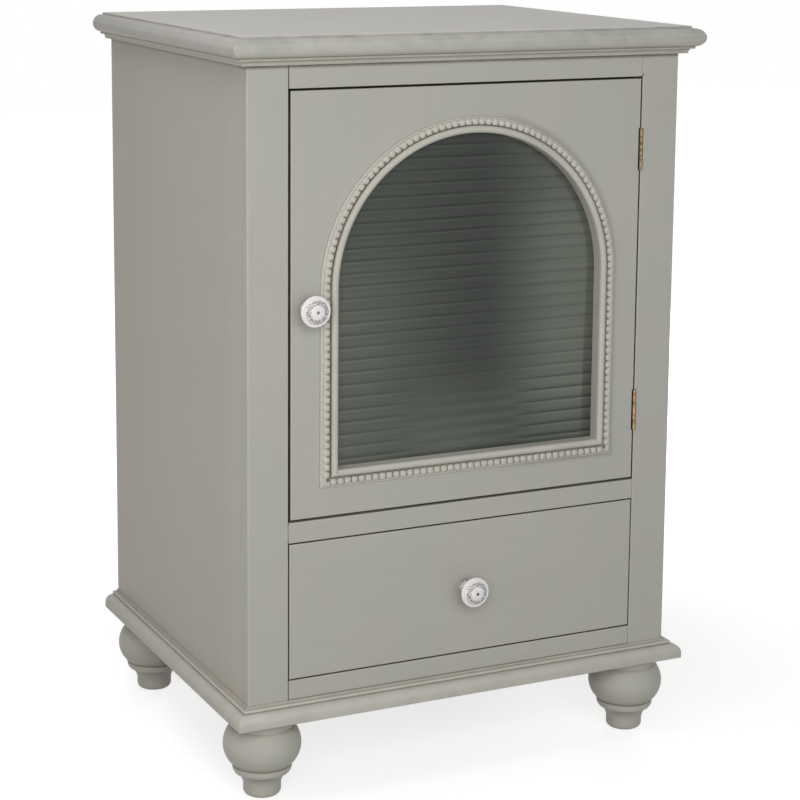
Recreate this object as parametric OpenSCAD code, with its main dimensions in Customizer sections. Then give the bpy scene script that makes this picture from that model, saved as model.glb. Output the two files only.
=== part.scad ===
// Bedside pot cupboard: an arched glass door over one drawer, on four turned feet.
// Millimetres. X runs from left to right, the front faces -Y, and Z is up from the floor.

/* [Carcass] */
// Width outside the side panels
carcass_w = 460; // [400:1:520]
// Depth from the front face to the back
carcass_d = 382; // [330:1:440]
// Thickness of the side panels
side_t = 18; // [15:1:22]
// Width of each front stile
stile_w = 41; // [36:1:50]
// Thickness of the face frame, the door and the drawer front
frame_t = 20; // [18:1:24]
// Height of the bottom rail
bottom_rail_h = 19; // [15:1:30]
// Height of the rail between the drawer and the door
middle_rail_h = 20; // [18:0.5:32]
// Height of the top rail that shows under the cornice
top_rail_h = 22; // [16:1:34]
// Height of the drawer opening
drawer_open_h = 135; // [110:1:160]
// Height of the door opening
door_open_h = 408.5; // [380:0.5:460]
// Thickness of the back panel
back_t = 6; // [4:1:8]
// Width of the rebate that the back panel sits in
back_lap = 9; // [7:1:11]
// Thickness of the cupboard floor
floor_t = 15; // [12:0.5:18]
// Rounding of the painted edges
edge_r = 1; // [0.6:0.1:1.5]
// Rounding of the two front corners of the carcass
corner_r = 2; // [1:0.1:3]

/* [Top and base] */
// Thickness of the top board
top_t = 20; // [17:1:26]
// How far the top board's nose stands out from the carcass
top_overhang = 20; // [17:1:26]
// Height of the small step round the flat of the top
top_step_h = 2.2; // [1.5:0.1:3]
// How far that step is set back from the nose
top_step_in = 10.8; // [9.6:0.1:12]
// Height of the cornice under the top board
cornice_h = 7; // [5:0.5:8]
// How far the cornice stands out at its top
cornice_out = 11.8; // [9:0.2:13]
// How far its lower fillet stands out
cornice_in = 6.8; // [5:0.2:7.2]
// Radius of the hollow between them
cornice_r = 3.4; // [2.4:0.2:3.8]
// Height of the lower fillet
cornice_lip = 1.3; // [0.8:0.1:1.6]
// Thickness of the moulded base board
base_t = 19; // [17:1:24]
// How far the base board stands out from the carcass
base_overhang = 15; // [13:0.5:18]
// Height of the upper fillet of the base moulding
base_fillet_h = 1.6; // [1:0.1:2]
// How far that fillet stands out
base_fillet_out = 1.8; // [1:0.1:2.4]
// Height of the small bead under the fillet
base_bead_h = 3.2; // [2.6:0.1:3.6]
// How far the small bead stands out
base_bead_out = 6.6; // [5:0.1:7.4]
// Radius of the quarter round under the bead
base_round_r = 8.3; // [7:0.1:9.6]

/* [Feet] */
// Height of the feet
foot_h = 81.5; // [74:0.5:100]
// Largest radius of the ball of a foot
foot_r = 37.9; // [34:0.1:42]
// Radius of the curve of the ball's side
foot_ball_r = 26.5; // [26:0.5:30]
// Depth of the ball's widest line under the base board
foot_belly = 30; // [29:0.5:33]
// Depth of the ball's end under the base board
foot_ball_end = 49.2; // [48.4:0.2:51]
// Height of the collar over the ball
foot_collar_h = 11.5; // [9:0.5:13]
// Radius of the collar
foot_collar_r = 30.6; // [28:0.2:32]
// Largest radius of the ring under the ball
foot_ring_r = 28.4; // [28:0.1:30]
// Radius of the curve of the ring's side
foot_ring_curve = 10; // [9:0.1:11]
// Depth of the ring's widest line under the base board
foot_ring_depth = 50.7; // [50:0.1:52]
// Depth of the ring's end under the base board
foot_ring_end = 58.2; // [57:0.2:60]
// Step in from the ring's end to the hollow under it
foot_ring_step = 0.4; // [0.2:0.1:0.8]
// Depth of the hollow's end under the base board
foot_hollow_end = 72; // [70:0.5:74]
// Radius of the shank between the hollow and the floor
foot_shank_r = 18.3; // [16:0.1:20]
// Rounding of the shank's edge at the floor
foot_toe_edge = 5; // [3:0.2:6]
// Distance of a foot's axis from the carcass side
foot_inset_x = 25.8; // [22:0.2:34]
// Distance of a front foot's axis from the front face
foot_inset_front = 28.8; // [24:0.2:40]
// Distance of a back foot's axis from the back
foot_inset_back = 42.5; // [34:0.5:60]
// Diameter of the bolts that hold the feet
foot_bolt_d = 8; // [6:1:10]

/* [Door] */
// Gap at the door's free edge
door_gap_free = 2.4; // [2:0.1:3]
// Gap at the hinged edge
door_gap_hinge = 1.6; // [1.2:0.1:2]
// Gap over the door
door_gap_top = 2; // [1.5:0.1:3]
// Gap under the door
door_gap_bottom = 2.4; // [1.5:0.1:3]
// Width of the door beside and over the window
door_margin = 45.5; // [42:0.5:60]
// Height of the door under the window
door_margin_bottom = 45.5; // [40:0.5:70]
// How far the window lies to the right of the door's middle
window_off = 0.9; // [0:0.1:2]
// Thickness of the door in front of the glass
lip_t = 8; // [6:0.5:9]
// Width of the rebate for the glass
rebate_w = 8; // [6:0.5:9]
// Width of the beaded moulding round the window
bead_w = 17; // [15.4:0.1:18]
// Width of the plain band inside the beads
band_w = 6.9; // [6.6:0.1:8]
// How far the plain band stands out from the door
band_h = 7.2; // [5:0.1:8]
// Distance of the row of beads from the window's edge
bead_row = 11.6; // [11.5:0.1:12]
// Radius of the beads
bead_r = 3.4; // [3:0.05:3.5]
// How far the middle of a bead stands out from the door
bead_out = 3.1; // [2.6:0.1:3.6]
// Distance between the beads
bead_pitch = 7.2; // [7.1:0.05:8]
// Thickness of the moulding's backing under the beads
bead_back_t = 2.2; // [1.6:0.1:3]

/* [Glass] */
// Thickness of the glass between its reeds
glass_t = 3; // [2.5:0.1:4]
// Width of one reed
reed_pitch = 12; // [8:0.5:16]
// Height of a reed
reed_h = 1.1; // [0.6:0.1:1.4]
// Gap round the glass in its rebate
glass_gap = 1; // [0.5:0.1:1.5]
// Thickness of the glazing stops
stop_t = 6.5; // [5:0.1:7]
// Diameter of the glazing pins
stop_pin_d = 1.4; // [1:0.1:1.8]

/* [Hinges] */
// Diameter of the hinge barrels
barrel_d = 4.2; // [4.2:0.1:5.2]
// Diameter of the hinge pins
pin_d = 2.2; // [1.8:0.1:2.6]
// Running clearance of a pin in its knuckles
pin_clear = 0.05; // [0.03:0.01:0.08]
// Length of the long outer knuckle
knuckle_outer = 15.5; // [14:0.5:20]
// Length of the middle knuckle, which the door carries
knuckle_mid = 15.6; // [14:0.4:20]
// Length of the short inner knuckle
knuckle_inner = 8; // [8:0.5:14]
// Gap between knuckles
knuckle_gap = 0.3; // [0.2:0.05:0.5]
// Thickness of a hinge leaf
leaf_t = 1.2; // [1:0.1:1.5]
// Width of a hinge leaf, from the pin
leaf_w = 17; // [15:0.5:17.5]
// Distance of a hinge from the nearer end of the door
hinge_inset = 50; // [36:1:80]
// How far the pins stand in front of the door's face
pin_proud = 0.4; // [0.3:0.1:1.5]

/* [Knobs] */
// Diameter of a knob
knob_d = 30; // [26:0.5:34]
// Length of a knob
knob_len = 25.5; // [24:0.5:30]
// Thickness of the knob's rim
knob_rim_t = 4.4; // [3.6:0.2:5]
// Height of the knob's domed face
knob_dome_h = 3.8; // [3:0.2:5]
// Radius of the knob's foot
knob_foot_r = 7.5; // [6.5:0.5:9]
// Radius of the knob's waist
knob_waist_r = 5.6; // [4.6:0.2:6]
// Distance of the door knob from the door's free edge
knob_inset = 16.6; // [15:0.2:17]
// Diameter of the bolt through a knob
knob_bolt_d = 3; // [2.5:0.1:3.5]

/* [Drawer] */
// Gap beside the drawer front
drawer_gap_side = 1.2; // [1:0.1:2]
// Gap over and under the drawer front
drawer_gap_z = 1.3; // [0.8:0.1:1.6]
// Thickness of the drawer's sides and back
drawer_t = 12; // [10:0.5:14]
// Room between the drawer's back and the back panel
drawer_tail = 26; // [20:1:120]
// How much lower the drawer's sides are than the opening
drawer_side_down = 2; // [1.5:0.5:8]
// Thickness of the drawer's bottom
drawer_bottom_t = 6; // [4:0.5:8]
// Height of the groove for the bottom, from the side's lower edge
drawer_groove_z = 8; // [6:0.5:12]
// Depth of that groove
drawer_groove_d = 5; // [4:0.5:6]
// Width of the runners under the drawer's sides
runner_w = 14; // [12:0.5:20]
// Height of the guides beside the drawer
guide_h = 40; // [20:1:70]
// Gap between the drawer and what it slides on
slide_gap = 0.3; // [0.2:0.05:0.4]

/* [Hidden] */
$fn = 64;

// Colours
paint = "#A6A49A";
bare_wood = "#C3A67B";
brass = "#9A8256";
steel = "#9A9A98";
china = "#E8E6E1";

// Slack that the cutting shapes run past a face
cut = 1;

// Widths across the front
half_w = carcass_w / 2;
half_open = half_w - stile_w;
half_in = half_w - side_t;

// Heights, from the floor up
carcass_z = foot_h + base_t;
drawer_open_z = carcass_z + bottom_rail_h;
middle_rail_z = drawer_open_z + drawer_open_h;
door_open_z = middle_rail_z + middle_rail_h;
top_rail_z = door_open_z + door_open_h;
cornice_z = top_rail_z + top_rail_h;
top_z = cornice_z + cornice_h;
carcass_h = top_z - carcass_z;

// The origin is under the middle of the whole object, from the knobs to the back
front_y = -(carcass_d - knob_len) / 2;
inner_back_y = carcass_d - back_t;

// Door
door_x = -half_open + door_gap_free;
door_z = door_open_z + door_gap_bottom;
door_w = 2 * half_open - door_gap_free - door_gap_hinge;
door_h = door_open_h - door_gap_bottom - door_gap_top;
window_r = door_w / 2 - door_margin;
window_x = door_x + door_w / 2 + window_off;
sill_z = door_z + door_margin_bottom;
spring_z = door_z + door_h - door_margin - window_r;
rebate_r = window_r + rebate_w;
glass_r = rebate_r - glass_gap;
glass_y = lip_t + reed_h;
reed_valley = 0.1;
glass_slack = 0.3;
stop_y = glass_y + glass_t + glass_slack;

// Hinges
hinge_len = knuckle_outer + knuckle_mid + knuckle_inner + 2 * knuckle_gap;
hinge_x = half_open - door_gap_hinge / 2;
leaf_u = 0.2;
barrel_clear = 0.6;
pin_head_t = 0.8;
pin_head_in = 0.4;
hinge_screw_d = 2.6;
hinge_screw_head = 4.8;
hinge_screw_len = 13;
hinge_screw_v = leaf_w * 0.62;
hinge_screw_s = [hinge_len * 0.22, hinge_len * 0.78];

// Catch at the free side, over the door
catch_x = door_x + 38;
catch_w = 40;
catch_d = 14;
catch_nose = 9;
catch_h = 13;
catch_screw_d = 2.4;
catch_screw_head = 4.6;
catch_screw_len = catch_d + 9;
catch_screw_in = 6;
strike_t = 1.2;
strike_w = 26;
strike_h = 9;
strike_down = 1.5;
strike_clear = 0.1;

// Knobs
door_knob_x = door_x + knob_inset;
door_knob_z = door_z + door_h / 2;
drawer_knob_z = drawer_open_z + drawer_open_h / 2;
knob_hole_clear = 0.2;

// Drawer
drawer_half = half_open - drawer_gap_side - slide_gap;
drawer_z = drawer_open_z + slide_gap;
drawer_side_h = drawer_open_h - slide_gap - drawer_side_down;
drawer_end = inner_back_y - drawer_tail;
runner_in = half_open - runner_w;
guide_in = half_open - drawer_gap_side;
kicker_h = middle_rail_h - floor_t;

module place() {
    translate([0, front_y, 0]) children();
}

// A block from one corner to the other
module block(low, high) {
    translate(low) cube(high - low);
}

// A rectangle of w by d with its two corners at y = 0 rounded
module eased(w, d, left_r, right_r) {
    translate([left_r, 0]) square([w - left_r - right_r, d]);
    translate([0, left_r]) square([left_r + cut, d - left_r]);
    translate([w - right_r - cut, right_r]) square([right_r + cut, d - right_r]);
    translate([left_r, left_r]) circle(left_r);
    translate([w - right_r, right_r]) circle(right_r);
}

// Carries a profile of (depth, height) along +X for a length
module along_x(length) {
    rotate([90, 0, 90]) linear_extrude(length) children();
}

// Carries a profile of (across, height) along +Y for a length
module along_y(length) {
    translate([0, length, 0]) rotate([90, 0, 0]) linear_extrude(length) children();
}

// A board from one corner to the other whose four front edges are rounded
module front_board(low, high, r = edge_r) {
    size = high - low;
    translate(low) intersection() {
        linear_extrude(size.z) eased(size.x, size.y, r, r);
        along_x(size.x) mirror([1, -1]) eased(size.z, size.y, r, r);
    }
}

// Mirrors a piece to the right side, or leaves it on the left
module side(right) {
    mirror([right ? 1 : 0, 0, 0]) children();
}

// ---- Carcass ----

module side_panel(right) {
    color(paint) place() side(right) difference() {
        block([-half_w, frame_t, carcass_z], [-half_in, carcass_d, top_z]);
        block([-half_in - back_lap, inner_back_y, carcass_z - cut],
              [-half_in + cut, carcass_d + cut, top_z + cut]);
        for (z = back_screw_zs()) back_screw_hole(z);
    }
}

// Upright of the face frame, rounded down its front edges
module stile(right) {
    color(paint) place() difference() {
        side(right) translate([-half_w, 0, carcass_z])
            linear_extrude(carcass_h) eased(stile_w, frame_t, corner_r, edge_r);
        if (right) {
            for (upper = [true, false]) at_hinge(upper) leaf_mortise();
        }
    }
}

module rail(z, h) {
    front_board([-half_open, 0, z], [half_open, frame_t, z + h]);
}

module top_rail() {
    color(paint) place() difference() {
        rail(top_rail_z, top_rail_h + cornice_h);
        catch_screw_holes();
    }
}

module middle_rail() {
    color(paint) place() rail(middle_rail_z, middle_rail_h);
}

module bottom_rail() {
    color(paint) place() rail(carcass_z, bottom_rail_h);
}

module back_panel() {
    color(paint) place() difference() {
        block([-half_in - back_lap, inner_back_y, carcass_z],
              [half_in + back_lap, carcass_d, top_z]);
        for (right = [false, true], z = back_screw_zs()) side(right) back_screw_hole(z);
    }
}

module cupboard_floor() {
    color(paint) place()
        block([-half_in, frame_t, door_open_z - floor_t], [half_in, inner_back_y, door_open_z]);
}

// ---- Screws in the back and the top ----

back_screw_d = 3;
back_screw_head = 6;
back_screw_len = 18;
screw_clear = 0.05;

function back_screw_zs() = [for (k = [0 : 3]) carcass_z + carcass_h * (0.08 + 0.28 * k)];

// A countersunk screw that points along +Z, its flat head at z = 0
module screw(d, head, length) {
    cylinder(h = (head - d) / 2, r1 = head / 2, r2 = d / 2);
    cylinder(h = length, r = d / 2);
}

module back_screw_at(z) {
    translate([-half_in - back_lap / 2, carcass_d, z]) rotate([90, 0, 0]) children();
}

module back_screw_hole(z) {
    back_screw_at(z) screw(back_screw_d + 2 * screw_clear, back_screw_head + 2 * screw_clear,
                           back_screw_len + cut);
}

module back_screws() {
    color(steel) place() for (right = [false, true], z = back_screw_zs())
        side(right) back_screw_at(z) screw(back_screw_d, back_screw_head, back_screw_len);
}

cleat = 18;
cleat_screw_d = 4;
cleat_screw_head = 8;
cleat_screw_len = cleat + top_t * 0.6;
cleat_screw_in = 50;

// Places for the screws that hold the top board down, under each cleat
module at_cleat_screws() {
    for (right = [false, true], y = [frame_t + cleat_screw_in, inner_back_y - cleat_screw_in])
        side(right) translate([-half_in + cleat / 2, y, top_z - cleat]) children();
}

module cleat_screw_holes() {
    at_cleat_screws() screw(cleat_screw_d + 2 * screw_clear, cleat_screw_head + 2 * screw_clear,
                            cleat_screw_len + cut);
}

module top_cleats() {
    color(bare_wood) place() difference() {
        for (right = [false, true]) side(right)
            block([-half_in, frame_t, top_z - cleat], [-half_in + cleat, inner_back_y, top_z]);
        cleat_screw_holes();
    }
}

module cleat_screws() {
    color(steel) place() at_cleat_screws()
        screw(cleat_screw_d, cleat_screw_head, cleat_screw_len);
}

// ---- Top board and cornice ----

// Half of the top board's section: a round nose under a small step, out from the carcass
module nose_section(inward) {
    nose_r = (top_t - top_step_h) / 2;
    nose_x = top_overhang - nose_r;
    translate([-inward, 0]) square([inward + nose_x, 2 * nose_r]);
    translate([nose_x, nose_r]) circle(nose_r);
    translate([-inward, 0]) square([inward + top_overhang - top_step_in, top_t]);
}

// Both moulded sides of a section, joined in the middle
module both_sides(half) {
    for (right = [0, 1]) mirror([right, 0]) translate([half, 0]) children();
}

module top_board() {
    color(paint) place() difference() {
        translate([0, 0, top_z]) intersection() {
            translate([0, -top_overhang - cut, 0])
                along_y(carcass_d + top_overhang + cut) both_sides(half_w) nose_section(half_w);
            translate([-half_w - 2 * top_overhang, 0, 0])
                along_x(carcass_w + 4 * top_overhang) mirror([1, 0]) nose_section(carcass_d);
        }
        cleat_screw_holes();
    }
}

// Section of the cornice: an upper fillet, a hollow and a lower fillet
module cornice_section() {
    square([cornice_in, cornice_h]);
    difference() {
        translate([0, cornice_lip]) square([cornice_out, cornice_h - cornice_lip]);
        translate([cornice_in + cornice_r, cornice_lip]) circle(cornice_r);
        translate([cornice_in + cornice_r, cornice_lip - cut])
            square([cornice_out, cornice_r + cut]);
    }
}

module cornice_front() {
    color(paint) place() translate([0, 0, cornice_z]) intersection() {
        translate([-half_w - cornice_out, 0, 0])
            along_x(carcass_w + 2 * cornice_out) mirror([1, 0]) cornice_section();
        linear_extrude(cornice_h) polygon([
            [-half_w, 0], [half_w, 0],
            [half_w + cornice_out, -cornice_out], [-half_w - cornice_out, -cornice_out]
        ]);
    }
}

module cornice_side(right) {
    color(paint) place() side(!right) translate([0, 0, cornice_z]) intersection() {
        translate([half_w, -cornice_out, 0])
            along_y(carcass_d + cornice_out) cornice_section();
        linear_extrude(cornice_h) polygon([
            [half_w, 0], [half_w + cornice_out, -cornice_out],
            [half_w + cornice_out, carcass_d], [half_w, carcass_d]
        ]);
    }
}

// ---- Base board and feet ----

// Half of the base board's section: a fillet, a bead and a quarter round over a straight face
module base_section(inward) {
    bead_top = base_t - base_fillet_h;
    round_top = bead_top - base_bead_h;
    half_bead = base_bead_h / 2;
    straight = round_top - base_round_r;
    translate([-inward, 0]) square([inward + base_fillet_out, base_t]);
    translate([-inward, 0]) square([inward + base_bead_out - half_bead, bead_top]);
    translate([base_bead_out - half_bead, bead_top - half_bead]) circle(half_bead);
    translate([-inward, 0]) square([inward + base_overhang - base_round_r, round_top]);
    intersection() {
        translate([base_overhang - base_round_r, straight]) circle(base_round_r);
        translate([0, straight]) square([base_overhang, base_round_r]);
    }
    translate([-inward, edge_r]) square([inward + base_overhang, straight - edge_r]);
    translate([-inward, 0]) square([inward + base_overhang - edge_r, straight]);
    translate([base_overhang - edge_r, edge_r]) circle(edge_r);
}

module base_board() {
    color(paint) place() difference() {
        translate([0, 0, foot_h]) intersection() {
            translate([0, -base_overhang - cut, 0])
                along_y(carcass_d + base_overhang + cut) both_sides(half_w) base_section(half_w);
            translate([-half_w - 2 * base_overhang, 0, 0])
                along_x(carcass_w + 4 * base_overhang) mirror([1, 0]) base_section(carcass_d);
        }
        for (right = [false, true], back = [false, true]) at_foot(right, back) foot_bolt_hole();
    }
}

foot_bolt_in_foot = 34;
foot_bolt_in_base = base_t - 5;

// Puts a piece on a foot's axis, with z = 0 at the floor
module at_foot(right, back) {
    y = back ? carcass_d - foot_inset_back : foot_inset_front;
    side(right) translate([-half_w + foot_inset_x, y, 0]) children();
}

module foot_bolt_hole() {
    translate([0, 0, foot_h - foot_bolt_in_foot - cut])
        cylinder(h = foot_bolt_in_foot + foot_bolt_in_base + 2 * cut,
                 r = foot_bolt_d / 2 + screw_clear);
}

// Half section of a foot, from the floor up: shank, hollow, ring, ball and collar
module foot_section() {
    ball_end_z = foot_h - foot_ball_end;
    ring_z = foot_h - foot_ring_depth;
    ring_end_z = foot_h - foot_ring_end;
    ring_x = foot_ring_r - foot_ring_curve;
    hollow_z = foot_h - foot_hollow_end;
    hollow_h = foot_hollow_end - foot_ring_end;
    hollow_top = ring_x + sqrt(pow(foot_ring_curve, 2) - pow(foot_ring_end - foot_ring_depth, 2))
        - foot_ring_step;
    hollow_out = hollow_top - foot_shank_r;
    hollow_r = (pow(hollow_out, 2) + pow(hollow_h, 2)) / (2 * hollow_out);
    translate([0, foot_h - foot_collar_h]) square([foot_collar_r, foot_collar_h]);
    intersection() {
        translate([foot_r - foot_ball_r, foot_h - foot_belly]) circle(foot_ball_r, $fn = 128);
        translate([0, ball_end_z]) square([foot_r, foot_ball_end - foot_collar_h]);
    }
    intersection() {
        translate([ring_x, ring_z]) circle(foot_ring_curve);
        translate([0, ring_end_z]) square([foot_ring_r, ball_end_z - ring_end_z]);
    }
    difference() {
        translate([0, hollow_z]) square([hollow_top, hollow_h]);
        translate([foot_shank_r + hollow_r, hollow_z]) circle(hollow_r, $fn = 96);
    }
    translate([0, foot_toe_edge]) square([foot_shank_r, hollow_z - foot_toe_edge]);
    square([foot_shank_r - foot_toe_edge, foot_h - foot_collar_h]);
    intersection() {
        translate([foot_shank_r - foot_toe_edge, foot_toe_edge]) circle(foot_toe_edge);
        square([foot_shank_r, foot_toe_edge]);
    }
}

module foot(right, back) {
    color(paint) place() at_foot(right, back) difference() {
        rotate_extrude($fn = 96) foot_section();
        foot_bolt_hole();
    }
}

module foot_bolts() {
    color(steel) place() for (right = [false, true], back = [false, true])
        at_foot(right, back) translate([0, 0, foot_h - foot_bolt_in_foot])
            cylinder(h = foot_bolt_in_foot + foot_bolt_in_base, r = foot_bolt_d / 2);
}

// ---- Runners for the drawer ----

module drawer_runner(right) {
    color(bare_wood) place() side(right)
        block([-half_in, frame_t, carcass_z], [-runner_in, inner_back_y, drawer_open_z]);
}

module drawer_guide(right) {
    color(bare_wood) place() side(right)
        block([-half_in, frame_t, drawer_open_z],
              [-guide_in, inner_back_y, drawer_open_z + guide_h]);
}

module drawer_kickers() {
    color(bare_wood) place() for (right = [false, true]) side(right)
        block([-half_in, frame_t, middle_rail_z],
              [-runner_in, inner_back_y, middle_rail_z + kicker_h]);
}

drawer_stop_t = 14;
drawer_stop_h = 22;

module drawer_stops() {
    color(bare_wood) place() for (right = [false, true]) side(right)
        block([-guide_in, drawer_end + slide_gap, drawer_open_z],
              [-runner_in, drawer_end + slide_gap + drawer_stop_t, drawer_open_z + drawer_stop_h]);
}

// ---- Door ----

// Outline of an arch of radius r whose foot is drop below the window's sill
module arch_outline(r, drop) {
    translate([window_x, spring_z]) circle(r, $fn = 180);
    translate([window_x - r, sill_z - drop]) square([2 * r, spring_z - sill_z + drop]);
}

// Carries an outline of (x, z) along +Y from y0 to y1
module front_plate(y0, y1) {
    translate([0, y0, 0]) along_y(y1 - y0) children();
}

// The whole door with its window, rebate, mortises and holes
module door_solid() {
    difference() {
        front_board([door_x, 0, door_z], [door_x + door_w, frame_t, door_z + door_h]);
        front_plate(-cut, frame_t + cut) arch_outline(window_r, 0);
        front_plate(lip_t, frame_t + cut) arch_outline(rebate_r, rebate_w);
        for (upper = [true, false]) at_hinge(upper) mirror([1, 0, 0]) leaf_mortise();
        glazing_pin_holes();
        at_door_knob() knob_bolt_hole(frame_t);
        strike_recess();
    }
}

// The part of the door between two heights
module door_between(z0, z1) {
    color(paint) place() intersection() {
        door_solid();
        block([door_x - cut, -cut, z0], [door_x + door_w + cut, frame_t + cut, z1]);
    }
}

// The door up to the foot of its arch
module door_leaf() {
    door_between(door_z - cut, spring_z);
}

// The arched head of the door, glued on the leaf
module door_head() {
    door_between(spring_z, door_z + door_h + cut);
}

// Section of the beaded moulding: u runs outwards from the window, v out from the door
module bead_section() {
    half_band = band_w / 2;
    square([bead_w, bead_back_t]);
    square([band_w, band_h - half_band]);
    intersection() {
        translate([half_band, band_h - half_band]) circle(half_band);
        square([band_w, band_h]);
    }
}

// The moulding's section, turned to stand on a straight run along +Z with u along +X
module bead_run(length) {
    linear_extrude(length) mirror([0, 1]) bead_section();
}

// One bead: half a ball on a short stem, standing on the door's face along +Z
module bead() {
    rotate_extrude($fn = 32) {
        square([bead_r, bead_out]);
        intersection() {
            translate([0, bead_out]) circle(bead_r);
            translate([0, bead_out]) square(bead_r);
        }
    }
}

module bead_arch() {
    count = round(PI * (window_r + bead_row) / bead_pitch);
    color(paint) place() translate([window_x, 0, spring_z]) rotate([90, 0, 0]) {
        rotate_extrude(angle = 180, $fn = 180) translate([window_r, 0]) bead_section();
        for (k = [0 : count - 1]) rotate((k + 0.5) * 180 / count)
            translate([window_r + bead_row, 0, 0]) bead();
    }
}

// A straight side of the moulding, mitred at the sill
module bead_side(right) {
    foot_z = sill_z - bead_row;
    count = round((spring_z - foot_z) / bead_pitch - 0.5);
    pitch = (spring_z - foot_z) / (count + 0.5);
    color(paint) place() translate([window_x, 0, 0]) side(!right) difference() {
        union() {
            translate([window_r, 0, sill_z - bead_w]) bead_run(spring_z - sill_z + bead_w);
            for (k = [0 : count]) translate([window_r + bead_row, 0, foot_z + k * pitch])
                rotate([90, 0, 0]) bead();
        }
        translate([window_r, 0, sill_z]) mitre_wedge();
    }
}

// What lies below a mitre that falls outwards at 45 degrees from the sill's corner
module mitre_wedge() {
    deep = band_h + cut;
    reach = bead_w + cut;
    front_plate(-deep, cut)
        polygon([[-cut, cut], [reach, -reach], [-cut, -reach]]);
}

module bead_bottom() {
    span = 2 * (window_r + bead_row);
    count = floor(span / bead_pitch);
    color(paint) place() difference() {
        union() {
            translate([window_x - window_r - bead_w, 0, sill_z]) rotate([0, 90, 0])
                bead_run(2 * (window_r + bead_w));
            for (k = [0 : count])
                translate([window_x - span / 2 + k * span / count, 0, sill_z - bead_row])
                    rotate([90, 0, 0]) bead();
        }
        for (right = [0, 1]) translate([window_x, 0, sill_z]) mirror([right, 0, 0])
            translate([window_r, 0, 0]) upper_wedge();
    }
}

// What lies over the same mitre
module upper_wedge() {
    reach = bead_w + cut;
    front_plate(-band_h - cut, cut)
        polygon([[-cut, cut], [reach, cut], [reach, -reach]]);
}

// ---- Glass ----

// Upright section of the glass: a flat back at y = glass_t, and a row of rounded reeds in front
module reeded_section(bottom, top) {
    count = ceil((top - bottom) / reed_pitch);
    reed_rise = reed_h - reed_valley;
    reed_round = (pow(reed_pitch / 2, 2) + pow(reed_rise, 2)) / (2 * reed_rise);
    translate([0, bottom]) square([glass_t, count * reed_pitch]);
    for (k = [0 : count - 1]) intersection() {
        translate([-2 * reed_h, bottom + k * reed_pitch]) square([2 * reed_h + cut, reed_pitch]);
        translate([reed_round - reed_h, bottom + (k + 0.5) * reed_pitch])
            circle(reed_round, $fn = 180);
    }
}

module reeded_glass() {
    bottom = sill_z - rebate_w + glass_gap;
    top = spring_z + glass_r;
    color("#5A625C", 0.5) place() intersection() {
        translate([window_x - glass_r - cut, glass_y, 0])
            along_x(2 * (glass_r + cut)) reeded_section(bottom, top);
        front_plate(lip_t, frame_t) arch_outline(glass_r, rebate_w - glass_gap);
    }
}

stop_clear = 0.1;

module glazing_stop_arch() {
    color(paint) place() difference() {
        translate([window_x, stop_y, spring_z]) rotate([90, 0, 0])
            translate([0, 0, -stop_t]) rotate_extrude(angle = 180, $fn = 180)
                translate([window_r, 0]) square([rebate_w - stop_clear, stop_t]);
        glazing_pin_holes();
    }
}

module glazing_stop_side(right) {
    color(paint) place() difference() {
        translate([window_x, 0, 0]) side(!right)
            block([window_r, stop_y, sill_z], [rebate_r - stop_clear, stop_y + stop_t, spring_z]);
        glazing_pin_holes();
    }
}

module glazing_stop_bottom() {
    half = rebate_r - stop_clear;
    color(paint) place() difference() {
        block([window_x - half, stop_y, sill_z - rebate_w + stop_clear],
              [window_x + half, stop_y + stop_t, sill_z]);
        glazing_pin_holes();
    }
}

// Places of the glazing pins: each points outwards along +X from the window's edge
module at_glazing_pins() {
    straight = spring_z - sill_z;
    for (k = [0 : 4]) translate([window_x, stop_y + stop_t / 2, spring_z])
        rotate([0, -18 - 36 * k, 0]) translate([window_r, 0, 0]) children();
    for (right = [0, 1], z = [0.25, 0.75]) translate([window_x, stop_y + stop_t / 2, 0])
        mirror([right, 0, 0]) translate([window_r, 0, sill_z + straight * z]) children();
    for (x = [-0.6, 0, 0.6]) translate([window_x + window_r * x, stop_y + stop_t / 2, sill_z])
        rotate([0, 90, 0]) children();
}

stop_pin_len = rebate_w + 7;

module glazing_pin(d, length) {
    rotate([0, 90, 0]) cylinder(h = length, r = d / 2);
}

module glazing_pin_holes() {
    at_glazing_pins() translate([-cut, 0, 0])
        glazing_pin(stop_pin_d + 2 * screw_clear, stop_pin_len + 2 * cut);
}

module glazing_pins() {
    color(steel) place() at_glazing_pins() glazing_pin(stop_pin_d, stop_pin_len);
}

// ---- Hinges ----
// A hinge is drawn about its pin: s runs along +Z from its outer end, the frame is at +X,
// the door at -X, and both leaves run back along +Y.

module at_hinge(upper) {
    z = upper ? door_z + door_h - hinge_inset : door_z + hinge_inset;
    translate([hinge_x, -pin_proud, z]) mirror([0, 0, upper ? 1 : 0]) children();
}

module knuckle(s, length) {
    translate([0, 0, s]) cylinder(h = length, r = barrel_d / 2);
}

// A leaf on the frame's side, with knuckles at the given stretches of s
module hinge_leaf(stretches) {
    neck_y = barrel_d / 2 + barrel_clear;
    difference() {
        union() {
            block([leaf_u, neck_y, 0], [leaf_u + leaf_t, leaf_w, hinge_len]);
            for (k = stretches) {
                knuckle(k[0], k[1]);
                block([leaf_u, 0, k[0]], [leaf_u + leaf_t, neck_y + cut, k[0] + k[1]]);
            }
        }
        translate([0, 0, -cut])
            cylinder(h = hinge_len + 2 * cut, r = pin_d / 2 + pin_clear);
        hinge_screw_holes();
    }
}

// Places of a leaf's screws: each points into the frame
module at_hinge_screws() {
    for (s = hinge_screw_s) translate([leaf_u, hinge_screw_v, s]) rotate([0, 90, 0]) children();
}

module hinge_screw_holes() {
    at_hinge_screws() screw(hinge_screw_d + 2 * screw_clear, hinge_screw_head + 2 * screw_clear,
                            hinge_screw_len + cut);
}

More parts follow.
